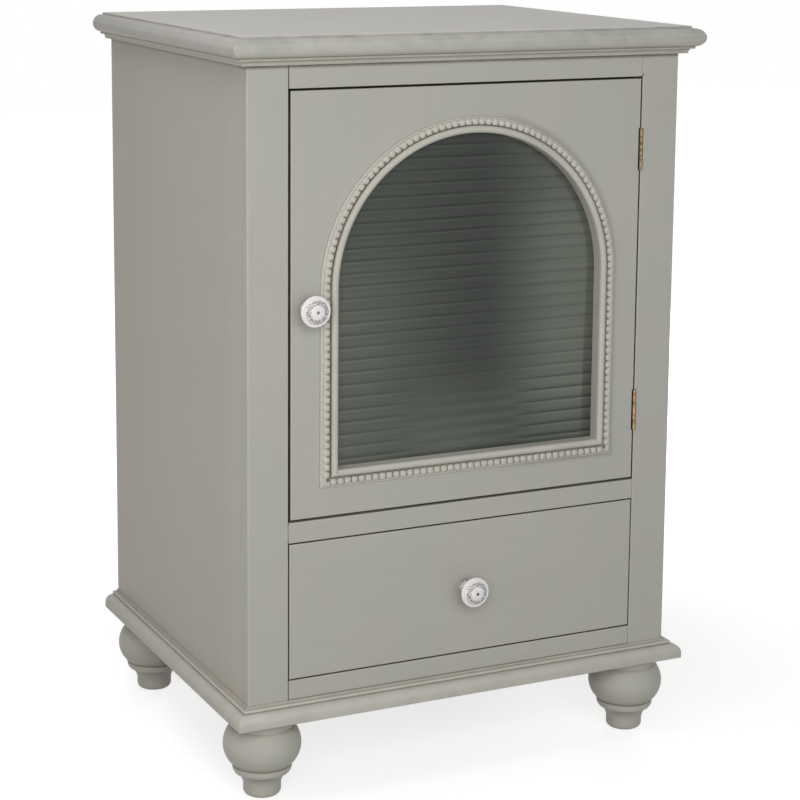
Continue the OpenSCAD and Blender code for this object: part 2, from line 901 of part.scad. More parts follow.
// What a leaf and the barrel take out of the wood on the frame's side
module leaf_mortise() {
    end = pin_head_t + knuckle_gap;
    block([-barrel_d, -cut, -knuckle_gap],
          [leaf_u + leaf_t, leaf_w + knuckle_gap, hinge_len + knuckle_gap]);
    translate([0, 0, -end])
        cylinder(h = hinge_len + 2 * end, r = barrel_d / 2 + barrel_clear);
    hinge_screw_holes();
}

module hinge_frame_leaf(upper) {
    inner_s = knuckle_outer + knuckle_mid + 2 * knuckle_gap;
    color(brass) place() at_hinge(upper)
        hinge_leaf([[0, knuckle_outer], [inner_s, knuckle_inner]]);
}

module hinge_door_leaf(upper) {
    color(brass) place() at_hinge(upper) mirror([1, 0, 0])
        hinge_leaf([[knuckle_outer + knuckle_gap, knuckle_mid]]);
}

module hinge_pin(upper) {
    head_r = barrel_d / 2 - pin_head_in;
    color(brass) place() at_hinge(upper) {
        cylinder(h = hinge_len, r = pin_d / 2);
        for (s = [-pin_head_t, hinge_len]) translate([0, 0, s])
            cylinder(h = pin_head_t, r = head_r);
    }
}

module hinge_frame_screws() {
    color(brass) place() for (upper = [true, false]) at_hinge(upper) at_hinge_screws()
        screw(hinge_screw_d, hinge_screw_head, hinge_screw_len);
}

module hinge_door_screws() {
    color(brass) place() for (upper = [true, false]) at_hinge(upper) mirror([1, 0, 0])
        at_hinge_screws() screw(hinge_screw_d, hinge_screw_head, hinge_screw_len);
}

// ---- Magnetic catch ----

// Places of the catch's two screws, which point into the top rail
module at_catch_screws() {
    reach = catch_w / 2 - catch_screw_in;
    for (x = [-reach, reach])
        translate([catch_x + x, frame_t + catch_d, top_rail_z + catch_h / 2])
            rotate([90, 0, 0]) children();
}

module catch_screw_holes() {
    at_catch_screws() screw(catch_screw_d + 2 * screw_clear, catch_screw_head + 2 * screw_clear,
                            catch_screw_len + cut);
}

module catch_body() {
    color("#6B5A45") place() difference() {
        union() {
            block([catch_x - catch_w / 2, frame_t, top_rail_z],
                  [catch_x + catch_w / 2, frame_t + catch_d, top_rail_z + catch_h]);
            block([catch_x - strike_w / 2, frame_t + slide_gap, top_rail_z - catch_nose],
                  [catch_x + strike_w / 2, frame_t + catch_d, top_rail_z + cut]);
        }
        catch_screw_holes();
    }
}

module catch_screws() {
    color(steel) place() at_catch_screws()
        screw(catch_screw_d, catch_screw_head, catch_screw_len);
}

// The plate on the door that the catch holds, made grow mm larger on each edge for its recess
module strike_block(grow, back_y) {
    top = door_z + door_h - strike_down;
    block([catch_x - strike_w / 2 - grow, frame_t - strike_t, top - strike_h - grow],
          [catch_x + strike_w / 2 + grow, back_y, top + grow]);
}

module strike_recess() {
    strike_block(strike_clear, frame_t + cut);
}

module catch_strike() {
    color(steel) place() strike_block(0, frame_t);
}

// ---- Knobs ----

// Half section of a knob: radius across, height out from the face that it stands on
module knob_section() {
    rim_r = knob_rim_t / 2;
    rim_x = knob_d / 2 - rim_r;
    rim_z = knob_len - knob_dome_h - rim_r;
    head_z = rim_z - rim_r;
    flange_t = 2.6;
    groove_r = 0.5;
    waist_curve = head_z / 2 + 0.4;
    dome = (pow(rim_x, 2) + pow(knob_dome_h, 2)) / (2 * knob_dome_h);
    difference() {
        union() {
            square([knob_foot_r, flange_t]);
            difference() {
                square([knob_waist_r + waist_curve, head_z + rim_r]);
                translate([knob_waist_r + waist_curve, head_z / 2]) circle(waist_curve);
                translate([knob_foot_r, -cut]) square([waist_curve, flange_t + cut]);
            }
            translate([0, head_z]) square([rim_x, knob_rim_t]);
            translate([rim_x, rim_z]) circle(rim_r);
            intersection() {
                translate([0, knob_len - dome]) circle(dome, $fn = 128);
                translate([0, head_z + knob_rim_t]) square([rim_x, knob_dome_h]);
            }
        }
        translate([rim_x, head_z + knob_rim_t + groove_r / 3]) circle(groove_r);
    }
}

module knob() {
    difference() {
        rotate_extrude() intersection() {
            knob_section();
            square([knob_d, knob_len]);
        }
        translate([0, 0, -cut])
            cylinder(h = knob_len + 2 * cut, r = knob_bolt_d / 2 + knob_hole_clear);
    }
}

// The bolt through a knob and a board t thick, with its washer and nut behind the board
module knob_bolt(t) {
    washer_t = 1;
    nut_t = 2.6;
    end = 3;
    translate([0, 0, -t - washer_t - nut_t - end])
        cylinder(h = t + washer_t + nut_t + end + knob_len, r = knob_bolt_d / 2);
    translate([0, 0, -t - washer_t]) cylinder(h = washer_t, r = knob_bolt_d * 1.5);
    translate([0, 0, -t - washer_t - nut_t]) cylinder(h = nut_t, r = knob_bolt_d, $fn = 6);
}

module knob_bolt_hole(t) {
    translate([0, 0, -t - cut]) cylinder(h = t + 2 * cut, r = knob_bolt_d / 2 + knob_hole_clear);
}

module at_door_knob() {
    translate([door_knob_x, 0, door_knob_z]) rotate([90, 0, 0]) children();
}

module at_drawer_knob() {
    translate([0, 0, drawer_knob_z]) rotate([90, 0, 0]) children();
}

module door_knob() {
    color(china) place() at_door_knob() knob();
}

module door_knob_bolt() {
    color(steel) place() at_door_knob() knob_bolt(frame_t);
}

module drawer_knob() {
    color(china) place() at_drawer_knob() knob();
}

module drawer_knob_bolt() {
    color(steel) place() at_drawer_knob() knob_bolt(frame_t);
}

// ---- Drawer ----

drawer_bottom_z = drawer_z + drawer_groove_z;
drawer_back_down = 6;
groove_clear = 0.1;

// What the drawer's bottom takes out of the pieces round it
module bottom_groove() {
    reach = drawer_half - drawer_t + drawer_groove_d;
    block([-reach, frame_t - drawer_groove_d, drawer_bottom_z - groove_clear],
          [reach, drawer_end + cut, drawer_bottom_z + drawer_bottom_t + groove_clear]);
}

module drawer_front() {
    color(paint) place() difference() {
        front_board([-half_open + drawer_gap_side, 0, drawer_open_z + drawer_gap_z],
                    [half_open - drawer_gap_side, frame_t,
                     drawer_open_z + drawer_open_h - drawer_gap_z]);
        bottom_groove();
        at_drawer_knob() knob_bolt_hole(frame_t);
    }
}

module drawer_side(right) {
    color(bare_wood) place() difference() {
        side(right) block([-drawer_half, frame_t, drawer_z],
                          [-drawer_half + drawer_t, drawer_end, drawer_z + drawer_side_h]);
        bottom_groove();
    }
}

module drawer_back() {
    color(bare_wood) place()
        block([-drawer_half + drawer_t, drawer_end - drawer_t, drawer_bottom_z + drawer_bottom_t],
              [drawer_half - drawer_t, drawer_end,
               drawer_z + drawer_side_h - drawer_back_down]);
}

module drawer_bottom() {
    reach = drawer_half - drawer_t + drawer_groove_d - groove_clear;
    color(bare_wood) place()
        block([-reach, frame_t - drawer_groove_d + groove_clear, drawer_bottom_z],
              [reach, drawer_end, drawer_bottom_z + drawer_bottom_t]);
}

// ---- Nodes ----

side_panel(false);  // side_panel_left
side_panel(true);  // side_panel_right
back_panel();
stile(false);  // stile_left
stile(true);  // stile_right
top_rail();
middle_rail();
bottom_rail();
top_board();
cornice_front();
cornice_side(false);  // cornice_left
cornice_side(true);  // cornice_right
base_board();
foot(false, false);  // foot_front_left
foot(true, false);  // foot_front_right
foot(false, true);  // foot_back_left
foot(true, true);  // foot_back_right
foot_bolts();
cupboard_floor();
top_cleats();
cleat_screws();
back_screws();
drawer_runner(false);  // drawer_runner_left
drawer_runner(true);  // drawer_runner_right
drawer_guide(false);  // drawer_guide_left
drawer_guide(true);  // drawer_guide_right
drawer_kickers();
drawer_stops();
door_leaf();
door_head();
bead_arch();
bead_side(false);  // bead_left
bead_side(true);  // bead_right
bead_bottom();
reeded_glass();
glazing_stop_arch();
glazing_stop_side(false);  // glazing_stop_left
glazing_stop_side(true);  // glazing_stop_right
glazing_stop_bottom();
glazing_pins();
door_knob();
door_knob_bolt();
hinge_frame_leaf(true);  // upper_hinge_frame_leaf
hinge_door_leaf(true);  // upper_hinge_door_leaf
hinge_pin(true);  // upper_hinge_pin
hinge_frame_leaf(false);  // lower_hinge_frame_leaf
hinge_door_leaf(false);  // lower_hinge_door_leaf
hinge_pin(false);  // lower_hinge_pin
hinge_frame_screws();
hinge_door_screws();
catch_body();
catch_screws();
catch_strike();
drawer_front();
drawer_side(false);  // drawer_side_left
drawer_side(true);  // drawer_side_right
drawer_back();
drawer_bottom();
drawer_knob();
drawer_knob_bolt();
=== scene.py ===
import math
from functools import partial

import bpy
import numpy as np
from mathutils import Matrix


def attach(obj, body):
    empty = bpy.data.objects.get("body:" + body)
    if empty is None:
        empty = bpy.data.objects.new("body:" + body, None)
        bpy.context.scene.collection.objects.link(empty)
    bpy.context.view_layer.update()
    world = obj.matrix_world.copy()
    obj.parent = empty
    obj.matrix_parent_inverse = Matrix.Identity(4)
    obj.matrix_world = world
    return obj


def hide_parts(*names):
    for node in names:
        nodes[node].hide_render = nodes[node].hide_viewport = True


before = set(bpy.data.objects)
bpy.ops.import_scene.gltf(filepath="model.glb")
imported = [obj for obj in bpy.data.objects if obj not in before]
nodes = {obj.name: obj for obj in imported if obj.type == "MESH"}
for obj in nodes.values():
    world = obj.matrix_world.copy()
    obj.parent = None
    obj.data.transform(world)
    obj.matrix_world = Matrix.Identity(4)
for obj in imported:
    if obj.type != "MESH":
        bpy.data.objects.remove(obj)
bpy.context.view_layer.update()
print("frame loaded:", len(nodes), "nodes")

# Lengths are in millimetres: x from the middle of the cupboard, y back from its front face, z up
cupboard = {
    "frontFaceY": -178.25,
    "halfWidth": 230.0,
    "depth": 382.0,
    "baseZ": 81.5,
    "corniceZ": 705.0,
    "topZ": 712.0,
}


def inFrame(points):
    # Cupboard millimetres to the frame's metres
    return (np.asarray(points, float) + (0, cupboard["frontFaceY"], 0)) / 1000


# Surfaces

def patch(points, marks=None, loopU=False, loopV=False, capRows=False, capColumns=False):
    # A grid of points[v, u]: four neighbours make a face, and an open end may get one flat face.
    # The faces are turned round where the volume they enclose comes out negative.
    rows, columns = points.shape[:2]
    index = np.arange(rows * columns).reshape(rows, columns)
    grid = np.concatenate([index, index[:, :1]], 1) if loopU else index
    grid = np.concatenate([grid, grid[:1]], 0) if loopV else grid
    quads = np.stack([grid[:-1, :-1], grid[:-1, 1:], grid[1:, 1:], grid[1:, :-1]], -1).reshape(-1, 4)
    ends = []
    if capRows:
        ends += [index[0, ::-1], index[-1]]
    if capColumns and capRows:
        ends += [np.concatenate([index[:, 0], index[::-1, -1]])]
    elif capColumns:
        ends += [index[:, 0], index[::-1, -1]]
    flat = points.reshape(-1, 3).astype(float)
    corner = [flat[quads[:, k]] for k in range(4)]
    volume = np.sum(corner[0] * (np.cross(corner[1], corner[2]) + np.cross(corner[2], corner[3])))
    for end in ends:
        rim = flat[end]
        volume += np.sum(rim[0] * np.cross(rim, np.roll(rim, -1, 0)).sum(0))
    faces = [quads[:, ::-1] if volume < 0 else quads]
    ends = [end[::-1] if volume < 0 else end for end in ends]
    marks = {name: np.broadcast_to(value, (rows, columns)).reshape(-1)
             for name, value in (marks or {}).items()}
    return {"points": flat, "quads": faces[0], "ends": ends, "marks": marks}


def repeated(part, moves, sizes, turns):
    # The same patch at every place in moves, each scaled about its own foot and turned about y
    count = len(part["points"])
    scaled = part["points"][None] * sizes[:, None, None]
    cosine, sine = np.cos(turns)[:, None], np.sin(turns)[:, None]
    x, y, z = np.moveaxis(scaled, -1, 0)
    turned = np.stack([x * cosine - z * sine, y, x * sine + z * cosine], -1)
    points = turned + np.asarray(moves)[:, None]
    shift = np.arange(len(moves))[:, None, None] * count
    ends = [end + k * count for end in part["ends"] for k in range(len(moves))]
    return {"points": points.reshape(-1, 3), "quads": (part["quads"][None] + shift).reshape(-1, 4),
            "ends": ends, "marks": {n: np.tile(v, len(moves)) for n, v in part["marks"].items()}}


def addObject(name, data):
    made = bpy.data.objects.new(name, data)
    bpy.context.scene.collection.objects.link(made)
    return made


def makePiece(name, parts, material, replaced, body="carcass", sharpAngle=38,
              faceMap=None):
    # One mesh from several patches, with its marks as attributes of the points
    points = np.concatenate([part["points"] for part in parts])
    faces, start = [], 0
    for part in parts:
        faces += (part["quads"] + start).tolist() + [(end + start).tolist() for end in part["ends"]]
        start += len(part["points"])
    mesh = bpy.data.meshes.new(name)
    mesh.from_pydata(inFrame(points).tolist(), [], faces)
    for mark in sorted({"arris", "groove", "shade"}.union(*[part["marks"] for part in parts])):
        values = [part["marks"].get(mark, np.zeros(len(part["points"]))) for part in parts]
        layer = mesh.attributes.new(mark, "FLOAT", "POINT")
        layer.data.foreach_set("value", np.concatenate(values).astype(np.float32))
    if faceMap is not None:
        corners = np.zeros(len(mesh.loops), np.int32)
        mesh.loops.foreach_get("vertex_index", corners)
        layer = mesh.uv_layers.new(name="face")
        layer.data.foreach_set("uv", faceMap(points)[corners].astype(np.float32).ravel())
    mesh.shade_smooth()
    mesh.set_sharp_from_angle(angle=math.radians(sharpAngle))
    mesh.materials.append(material)
    piece = addObject(name, mesh)
    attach(piece, body)
    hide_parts(*replaced)


def surface(x, y, z):
    # Three coordinates, each a whole grid, a row, a column or one number, as a grid of points
    return np.stack(np.broadcast_arrays(x, y, z), -1)


def roundTurn(segments):
    # The angles of one full turn, as a row
    return np.linspace(0, 2 * math.pi, segments, endpoint=False)[None]


def arc(x, z, radius, start, end, steps):
    # Points of a circle about (x, z) from one angle to another, in degrees
    angle = np.radians(np.linspace(start, end, steps + 1))
    return np.stack([x + radius * np.cos(angle), z + radius * np.sin(angle)], -1)


def profile(*runs):
    # Joins runs of (points, arris, groove, shade) into one outline. Gives its distances out, its
    # heights and its marks, each as a column.
    runs = [(np.atleast_2d(np.asarray(run[0], float)), *run[1:], 0) for run in runs]
    line = np.concatenate([run[0] for run in runs])
    marks = {name: np.concatenate([np.full((len(run[0]), 1), run[k], float) for run in runs])
             for k, name in ((1, "arris"), (2, "groove"), (3, "shade"))}
    return line[:, :1], line[:, 1:], marks


# Shader groups

class Wire:
    # What a shader node puts out. A sum, difference, product or quotient with it adds a Math node.
    def __init__(self, socket):
        self.socket = socket


def connect(value, socket):
    # Links a Wire to the socket, or writes a fixed value there
    if isinstance(value, Wire):
        socket.id_data.links.new(value.socket, socket)
    else:
        socket.default_value = value


def addNode(kind, values, output=0, **settings):
    # A node in the tree of the first Wire among its values, which are given by socket
    tree = next(value for value in values.values() if isinstance(value, Wire)).socket.id_data
    made = tree.nodes.new("ShaderNode" + kind)
    for name, setting in settings.items():
        setattr(made, name, setting)
    for place, value in values.items():
        connect(value, made.inputs[place])
    return Wire(made.outputs[output])


def calc(operation, *values, clamp=False):
    return addNode("Math", dict(enumerate(values)), operation=operation, use_clamp=clamp)


signs = {"add": "ADD", "sub": "SUBTRACT", "mul": "MULTIPLY", "truediv": "DIVIDE"}
for sign, operation in signs.items():
    setattr(Wire, f"__{sign}__", lambda own, other, way=operation: calc(way, own, other))
    setattr(Wire, f"__r{sign}__", lambda own, other, way=operation: calc(way, other, own))


def vectorCalc(operation, *values):
    output = "Value" if operation in ("LENGTH", "DISTANCE") else "Vector"
    return addNode("VectorMath", dict(enumerate(values)), output, operation=operation)


def stretched(vector, *scales):
    # The vector with each coordinate times its own scale
    return vectorCalc("MULTIPLY", vector, scales)


def blendColour(factor, first, second, way="MIX"):
    return addNode("Mix", {0: factor, 6: first, 7: second}, 2, data_type="RGBA", blend_type=way)


def ramp(value, low, high, first=0.0, last=1.0):
    # Goes smoothly from first to last as the value goes from low to high
    return addNode("MapRange", dict(enumerate((value, low, high, first, last))),
                   interpolation_type="SMOOTHSTEP")


def noise(vector, scale, detail=2.0, roughness=0.5):
    return addNode("TexNoise", {"Vector": vector, "Scale": scale, "Detail": detail,
                                "Roughness": roughness}, "Fac")


def axesOf(vector):
    return [Wire(socket) for socket in addNode("SeparateXYZ", {0: vector}).socket.node.outputs]


def grey(level):
    return addNode("CombineColor", {0: level, 1: level, 2: level})


def objectPlace(tree):
    return Wire(tree.nodes.new("ShaderNodeTexCoord").outputs["Object"])


def attribute(tree, name):
    made = tree.nodes.new("ShaderNodeAttribute")
    made.attribute_name = name
    return Wire(made.outputs["Fac"])


def newGroup(name, inputs, outputs):
    # An empty group whose sockets are given as {kind: names}
    tree = bpy.data.node_groups.new(name, "ShaderNodeTree")
    for direction, sockets in (("INPUT", inputs), ("OUTPUT", outputs)):
        for kind, labels in sockets.items():
            for label in labels.split():
                tree.interface.new_socket(name=label, in_out=direction,
                                          socket_type="NodeSocket" + kind)
    given = {socket.name: Wire(socket) for socket in tree.nodes.new("NodeGroupInput").outputs}
    return tree, given, tree.nodes.new("NodeGroupOutput").inputs


def useGroup(tree, group, **values):
    # Places a group in a tree with its own values, and gives its outputs by name
    made = tree.nodes.new("ShaderNodeGroup")
    made.node_tree = groups[group]
    for label, value in values.items():
        connect(value, made.inputs[label])
    return {socket.name: Wire(socket) for socket in made.outputs}


def linear(code):
    # A written colour such as A6A49A as the shader's linear numbers
    levels = np.array([int(code[k:k + 2], 16) for k in (0, 2, 4)]) / 255
    levels = np.where(levels <= 0.04045, levels / 12.92, ((levels + 0.055) / 1.055) ** 2.4)
    return (*levels.tolist(), 1.0)


finish = {"Color": "Color", "Float": "Roughness Height"}  # what a finish puts out


def buildPaintGroup():
    # Brushed furniture paint: faint brush lines along the board, soft blotches, darker glaze in the
    # hollows that is partly painted shade in gaps and creases, edges a little lighter from wear and a
    # painted highlight, and small bare marks. Shade above 0 is painted shade and below 0 painted
    # light.
    tree, given, result = newGroup(
        "brushedPaint",
        {"Color": "Paint Blotch Glaze Rubbed", "Vector": "Brush", "Float": "Groove Arris Shade Mark"},
        finish)
    place = objectPlace(tree)
    along = vectorCalc("MULTIPLY", place, given["Brush"])
    bend = noise(place, 9.0, 1.0)
    wander = vectorCalc("ADD", along, bend * 3.0)
    brush = noise(wander, 1.0, 4.0, 0.62)
    coarse = noise(stretched(wander, 0.22, 0.22, 0.22), 1.0)
    cloud = noise(place, 6.0)
    patchy = noise(vectorCalc("ADD", place, (3.1, 1.7, 5.2)), 13.0, 3.0, 0.55)
    speck = noise(place, 620.0, 2.0, 0.6)
    # Shade above 0 is painted shade and below 0 painted light
    shade = 1.0 - given["Shade"] * 0.29
    for source, depth in ((brush, 0.055), (coarse, 0.045), (cloud, 0.05), (speck, 0.04)):
        shade += (source - 0.5) * depth
    ground = blendColour(ramp(patchy, 0.42, 0.72, 0.0, 0.7), given["Paint"], given["Blotch"])
    ground = blendColour(1.0, ground, grey(shade), "MULTIPLY")
    uneven = noise(place, 42.0, 3.0, 0.6)
    # Lighter edges: worn paint and a painted highlight
    rubAndHighlight = calc("MULTIPLY", given["Arris"], ramp(uneven, 0.32, 0.62, 0.4, 1.0), clamp=True)
    ground = blendColour(rubAndHighlight, ground, given["Rubbed"])
    # Glaze in the hollows, and painted shade in gaps and creases
    hold = calc("MULTIPLY", given["Groove"], ramp(uneven, 0.25, 0.6, 0.7, 1.0), clamp=True)
    ground = blendColour(hold, ground, given["Glaze"])
    connect(blendColour(given["Mark"], ground, linear("4E463C")), result["Color"])
    connect(0.42 + brush * 0.14 + hold * 0.15, result["Roughness"])
    connect(brush * 0.6 + speck * 0.3 - rubAndHighlight * 0.25, result["Height"])
    return tree


def buildEdgeGroup():
    # A board's front outline: Arris is a light line just inside it, wear and a painted highlight.
    # Groove is painted shade down the sides that face another board and, as dark as LeftJoint and
    # RightJoint say, a dark joint along a rail's ends
    tree, given, result = newGroup(
        "boardEdges", {"Vector": "Low High", "Float": "Reach LeftJoint RightJoint"},
        {"Float": "Arris Groove"})
    at, low, high = [axesOf(vector) for vector in (objectPlace(tree), given["Low"], given["High"])]
    left, under = [at[axis] - low[axis] for axis in (0, 2)]
    right, over = [high[axis] - at[axis] for axis in (0, 2)]
    near = calc("MINIMUM", calc("MINIMUM", left, under), calc("MINIMUM", right, over))
    behind = at[1] - low[1]
    edge = ramp(near, given["Reach"], 0.0)
    front = ramp(behind, 0.0022, 0.0006)
    connect(edge * front, result["Arris"])
    # Painted shade on the walls of the gaps between boards
    wall = ramp(near, 0.0009, 0.0002)
    down = ramp(behind, 0.0006, 0.0018) * ramp(behind, 0.0135, 0.0085)
    inside = ramp(calc("ABSOLUTE", at[0]), 0.2, 0.21, 1.0, 0.0)
    groove = wall * down * inside
    for gap, joint in ((left, "LeftJoint"), (right, "RightJoint")):
        groove = calc("MAXIMUM", groove, ramp(gap, 0.0013, 0.0003) * given[joint])
    connect(groove, result["Groove"])
    return tree


def buildMarkGroup():
    # A few small round marks: 1 inside Size of each place, and 0 outside it
    tree, given, result = newGroup("smallMarks", {"Float": "Size"}, {"Float": "Mark"})
    place = objectPlace(tree)
    ragged = noise(place, 900.0) * 0.0012
    total = 0.0
    for x, y, z, size in smallMarks:
        away = vectorCalc("DISTANCE", place, tuple(inFrame((x, y, z))))
        reach = given["Size"] * (size / 1000)
        total = calc("MAXIMUM", total, ramp(away + ragged, reach + 0.0009, reach))
    connect(total, result["Mark"])
    return tree


def buildWoodGroup():
    # Plain planed wood: growth rings stretched along the board, fine pores and a few darker streaks
    tree, given, result = newGroup("planedWood", {"Color": "Pale Dark", "Vector": "Grain"}, finish)
    along = vectorCalc("MULTIPLY", objectPlace(tree), given["Grain"])
    rings = calc("PINGPONG", noise(along, 0.22) * 9.0, 0.5)
    pores = noise(stretched(along, 6.0, 6.0, 6.0), 1.0, 3.0, 0.7)
    streak = calc("SUBTRACT", rings * 1.1 + pores * 0.55, 0.1, clamp=True)
    connect(blendColour(streak, given["Pale"], given["Dark"]), result["Color"])
    connect(0.55 + pores * 0.2, result["Roughness"])
    connect(pores, result["Height"])
    return tree


def buildPatinaGroup():
    # Old metal: bright where it is handled, dark and dull in cloudy spots
    tree, given, result = newGroup("oldMetal", {"Color": "Bright Dull", "Float": "Spots"}, finish)
    place = objectPlace(tree)
    cloud = noise(place, given["Spots"], 4.0, 0.62)
    fine = noise(stretched(place, 900.0, 900.0, 160.0), 1.0)
    dull = ramp(cloud + fine * 0.14, 0.46, 0.74)
    connect(blendColour(dull, given["Bright"], given["Dull"]), result["Color"])
    connect(0.28 + dull * 0.34, result["Roughness"])
    connect(fine + dull * 0.6, result["Height"])
    return tree


# place and size of each
smallMarks = [(198.0, -9.4, 731.9, 0.9), (201.0, -9.4, 731.6, 0.8), (205.5, -9.4, 731.8, 0.9),
              (-189.3, 0.4, 118.9, 0.9), (-189.3, 0.4, 256.2, 0.9), (-189.0, 0.4, 273.4, 1.0),
              (189.2, 0.4, 684.6, 1.2), (-189.2, 0.4, 703.6, 0.7), (-141.5, -6.6, 320.0, 0.8)]
groups = {"paint": buildPaintGroup(), "edges": buildEdgeGroup(), "wood": buildWoodGroup(),
          "metal": buildPatinaGroup(), "marks": buildMarkGroup()}
print("shader groups built")


# Materials

def newMaterial(name, bump, bumpDistance, sockets=None):
    # A Principled material with fixed values on its sockets, and a Bump before its Normal. Gives
    # the material, its tree, the shader's sockets and the height of the bump.
    material = bpy.data.materials.new(name)
    material.use_nodes = True
    tree = material.node_tree
    shader = next(n for n in tree.nodes if n.type == "BSDF_PRINCIPLED").inputs
    for label, value in (sockets or {}).items():
        shader[label].default_value = value
    relief = tree.nodes.new("ShaderNodeBump")
    relief.inputs["Strength"].default_value = bump
    relief.inputs["Distance"].default_value = bumpDistance
    tree.links.new(relief.outputs[0], shader["Normal"])
    return material, tree, shader, relief.inputs["Height"]


def connectAll(shader, relief, colour, roughness, height):
    connect(colour, shader["Base Color"])
    connect(roughness, shader["Roughness"])
    connect(height, relief)


paintLook = {
    "paint": "A8A69E",
    "side": "A9A397",
    "base": "ABA79D",
    "foot": "AEABA1",
    "blotch": "ABA59D",
    "glaze": "8C7C66",
    "line": "50453A",
    "valleyDark": "5F4E3C",
    "rubbed": "C2BFB6",
    "pale": "B6B2A8",
    "specular": 0.42,
    "upright": (420.0, 420.0, 9.0),  # brush lines run up
    "across": (9.0, 420.0, 420.0),   # brush lines run from side to side
    "turned": (60.0, 60.0, 420.0),
    "flat": (10.0, 90.0, 240.0),
}
window = {"middleX": 1.3, "radius": 141.5, "sillZ": 322.4, "springZ": 494.0}
windowMetres = {key: length / 1000 for key, length in window.items()}
moulding = {"width": 17.0, "backing": 2.2, "band": 6.9, "bandHeight": 7.2, "beadRow": 11.6,
            "beadRadius": 3.58, "beadOut": 2.6, "beadRise": 3.3, "power": 3.0, "ridge": 4.7,
            "archBeads": 67, "sideBeads": 25.5, "bottomBeads": 42, "beadSegments": 16,
            "crownSqueeze": 0.18, "seed": 7}
beadLine = {"pitch": 7.2, "radius": 3.5, "width": 1.1, "sillLow": 0.3108}


def beadValley(tree, groove, x, z):
    # A dark line on the window's side of each bead. Its distance from the bead's middle is the root
    # of the sum of the squares of the place along the row and across it. A bead itself is marked as
    # its middle, where there is no line.
    s = beadLine
    along = (calc("FRACT", attribute(tree, "along")) - 0.5) * s["pitch"]
    across = attribute(tree, "away") - moulding["beadRow"]
    distance = calc("SQRT", along * along + across * across)
    ring = ramp(distance, s["radius"] + s["width"], s["radius"] + 0.3) * ramp(distance, 0.0, 0.4)
    side = ramp(across, 0.4, -1.8)
    # Along the sill it runs on to the outer side
    low = ramp(z, s["sillLow"] + 0.002, s["sillLow"], 0.0, 0.8) * ramp(across, 3.0, 1.5)
    sideways = calc("ABSOLUTE", x - windowMetres["middleX"])
    corner = (window["radius"] + moulding["beadRow"]) / 1000
    low *= ramp(sideways, corner - 0.0028, corner - 0.0036)
    return calc("MAXIMUM", groove, ring * calc("MAXIMUM", side, low))


windowShading = {"liner": 0.85, "rightWidth": 6.5, "right": 0.75, "sillWidth": 1.8, "sill": 0.7,
              "strip": 0.65}
edgeReach = 1.5
corniceShadow = {"low": 700.2, "high": 704.2, "depth": 0.75}


def windowLightAndShade(x, z):
    # Away is the distance outside the window: the length of (sideways, above its spring) less its
    # radius, or the drop below its sill. Its liner gets painted light, and the corner where the
    # moulding meets the door gets painted shadow at the right and under the sill.
    s, wear = windowMetres, windowShading
    sideways = x - s["middleX"]
    above = calc("MAXIMUM", z - s["springZ"], 0.0)
    out = calc("SQRT", sideways * sideways + above * above) - s["radius"]
    below = s["sillZ"] - z
    away = calc("MAXIMUM", out, below)
    liner = ramp(away, 0.001, 0.0002, 0.0, -wear["liner"])
    edge = moulding["width"] / 1000
    right = ramp(sideways, 0.0, 0.08, 0.0, wear["right"])
    right = ramp(away, edge + wear["rightWidth"] / 1000, edge) * right
    under = ramp(below, 0.01, 0.016, 0.0, wear["sill"])
    return liner + right + ramp(away, edge + wear["sillWidth"] / 1000, edge) * under


def paintMaterial(name, brush, paint="paint", glaze="glaze", marks=False, board=None, arris=1.0,
                  groove=1.0, beads=False, windowShaded=False, shadedUnderCornice=False, paintedSideLight=False):
    # Painted wood whose edges come from the piece's own marks or from the box of a board
    material, tree, shader, relief = newMaterial(name, 0.25, 0.0002,
                                                 {"Specular IOR Level": paintLook["specular"]})
    x, y, z = axesOf(objectPlace(tree))
    arrisMark, grooveMark, shadeMark = 0.0, 0.0, 0.0
    if marks:
        arrisMark, grooveMark, shadeMark = [attribute(tree, key)
                                            for key in ("arris", "groove", "shade")]
    elif board:
        low, high, joints = board
        edges = useGroup(tree, "edges", Low=inFrame(low), High=inFrame(high), Reach=edgeReach / 1000,
                         LeftJoint=joints[0], RightJoint=joints[1])
        arrisMark, grooveMark = edges["Arris"] * arris, edges["Groove"] * groove
    if beads:
        grooveMark = beadValley(tree, grooveMark, x, z)
        # Painted shadow on the moulding's outer strip at the right
        strip = ramp(attribute(tree, "away"), moulding["width"] - 3.2, moulding["width"] - 1.6)
        shadeMark = ramp(x, 0.02, 0.1, 0.0, windowShading["strip"]) * strip
    # Painted light inside the window and painted shadow round its moulding
    if windowShaded:
        shadeMark = windowLightAndShade(x, z)
    if shadedUnderCornice:
        # Painted shadow just under the cornice
        low, high = corniceShadow["low"] / 1000, corniceShadow["high"] / 1000
        grooveMark = calc("MAXIMUM", grooveMark, ramp(z, low, high, 0.0, corniceShadow["depth"]))
    if paintedSideLight:
        # Painted light and shade: a side is a little lighter towards the front and darker towards the
        # back
        shadeMark = ramp(y, -0.18, -0.1, -0.3, 0.0) + ramp(y, 0.0, 0.19, 0.0, 0.17)
    colours = {label: linear(paintLook[key]) for label, key in (
        ("Paint", paint), ("Blotch", "blotch"), ("Glaze", glaze), ("Rubbed", "rubbed"))}
    made = useGroup(tree, "paint", Brush=paintLook[brush], Groove=grooveMark, Arris=arrisMark,
                    Shade=shadeMark, Mark=useGroup(tree, "marks", Size=1.0)["Mark"], **colours)
    connectAll(shader, relief, *made.values())
    return material


woodLook = {"pale": "CDB38A", "dark": "A98657",
            "x": (5.0, 120.0, 120.0), "y": (120.0, 5.0, 120.0)}


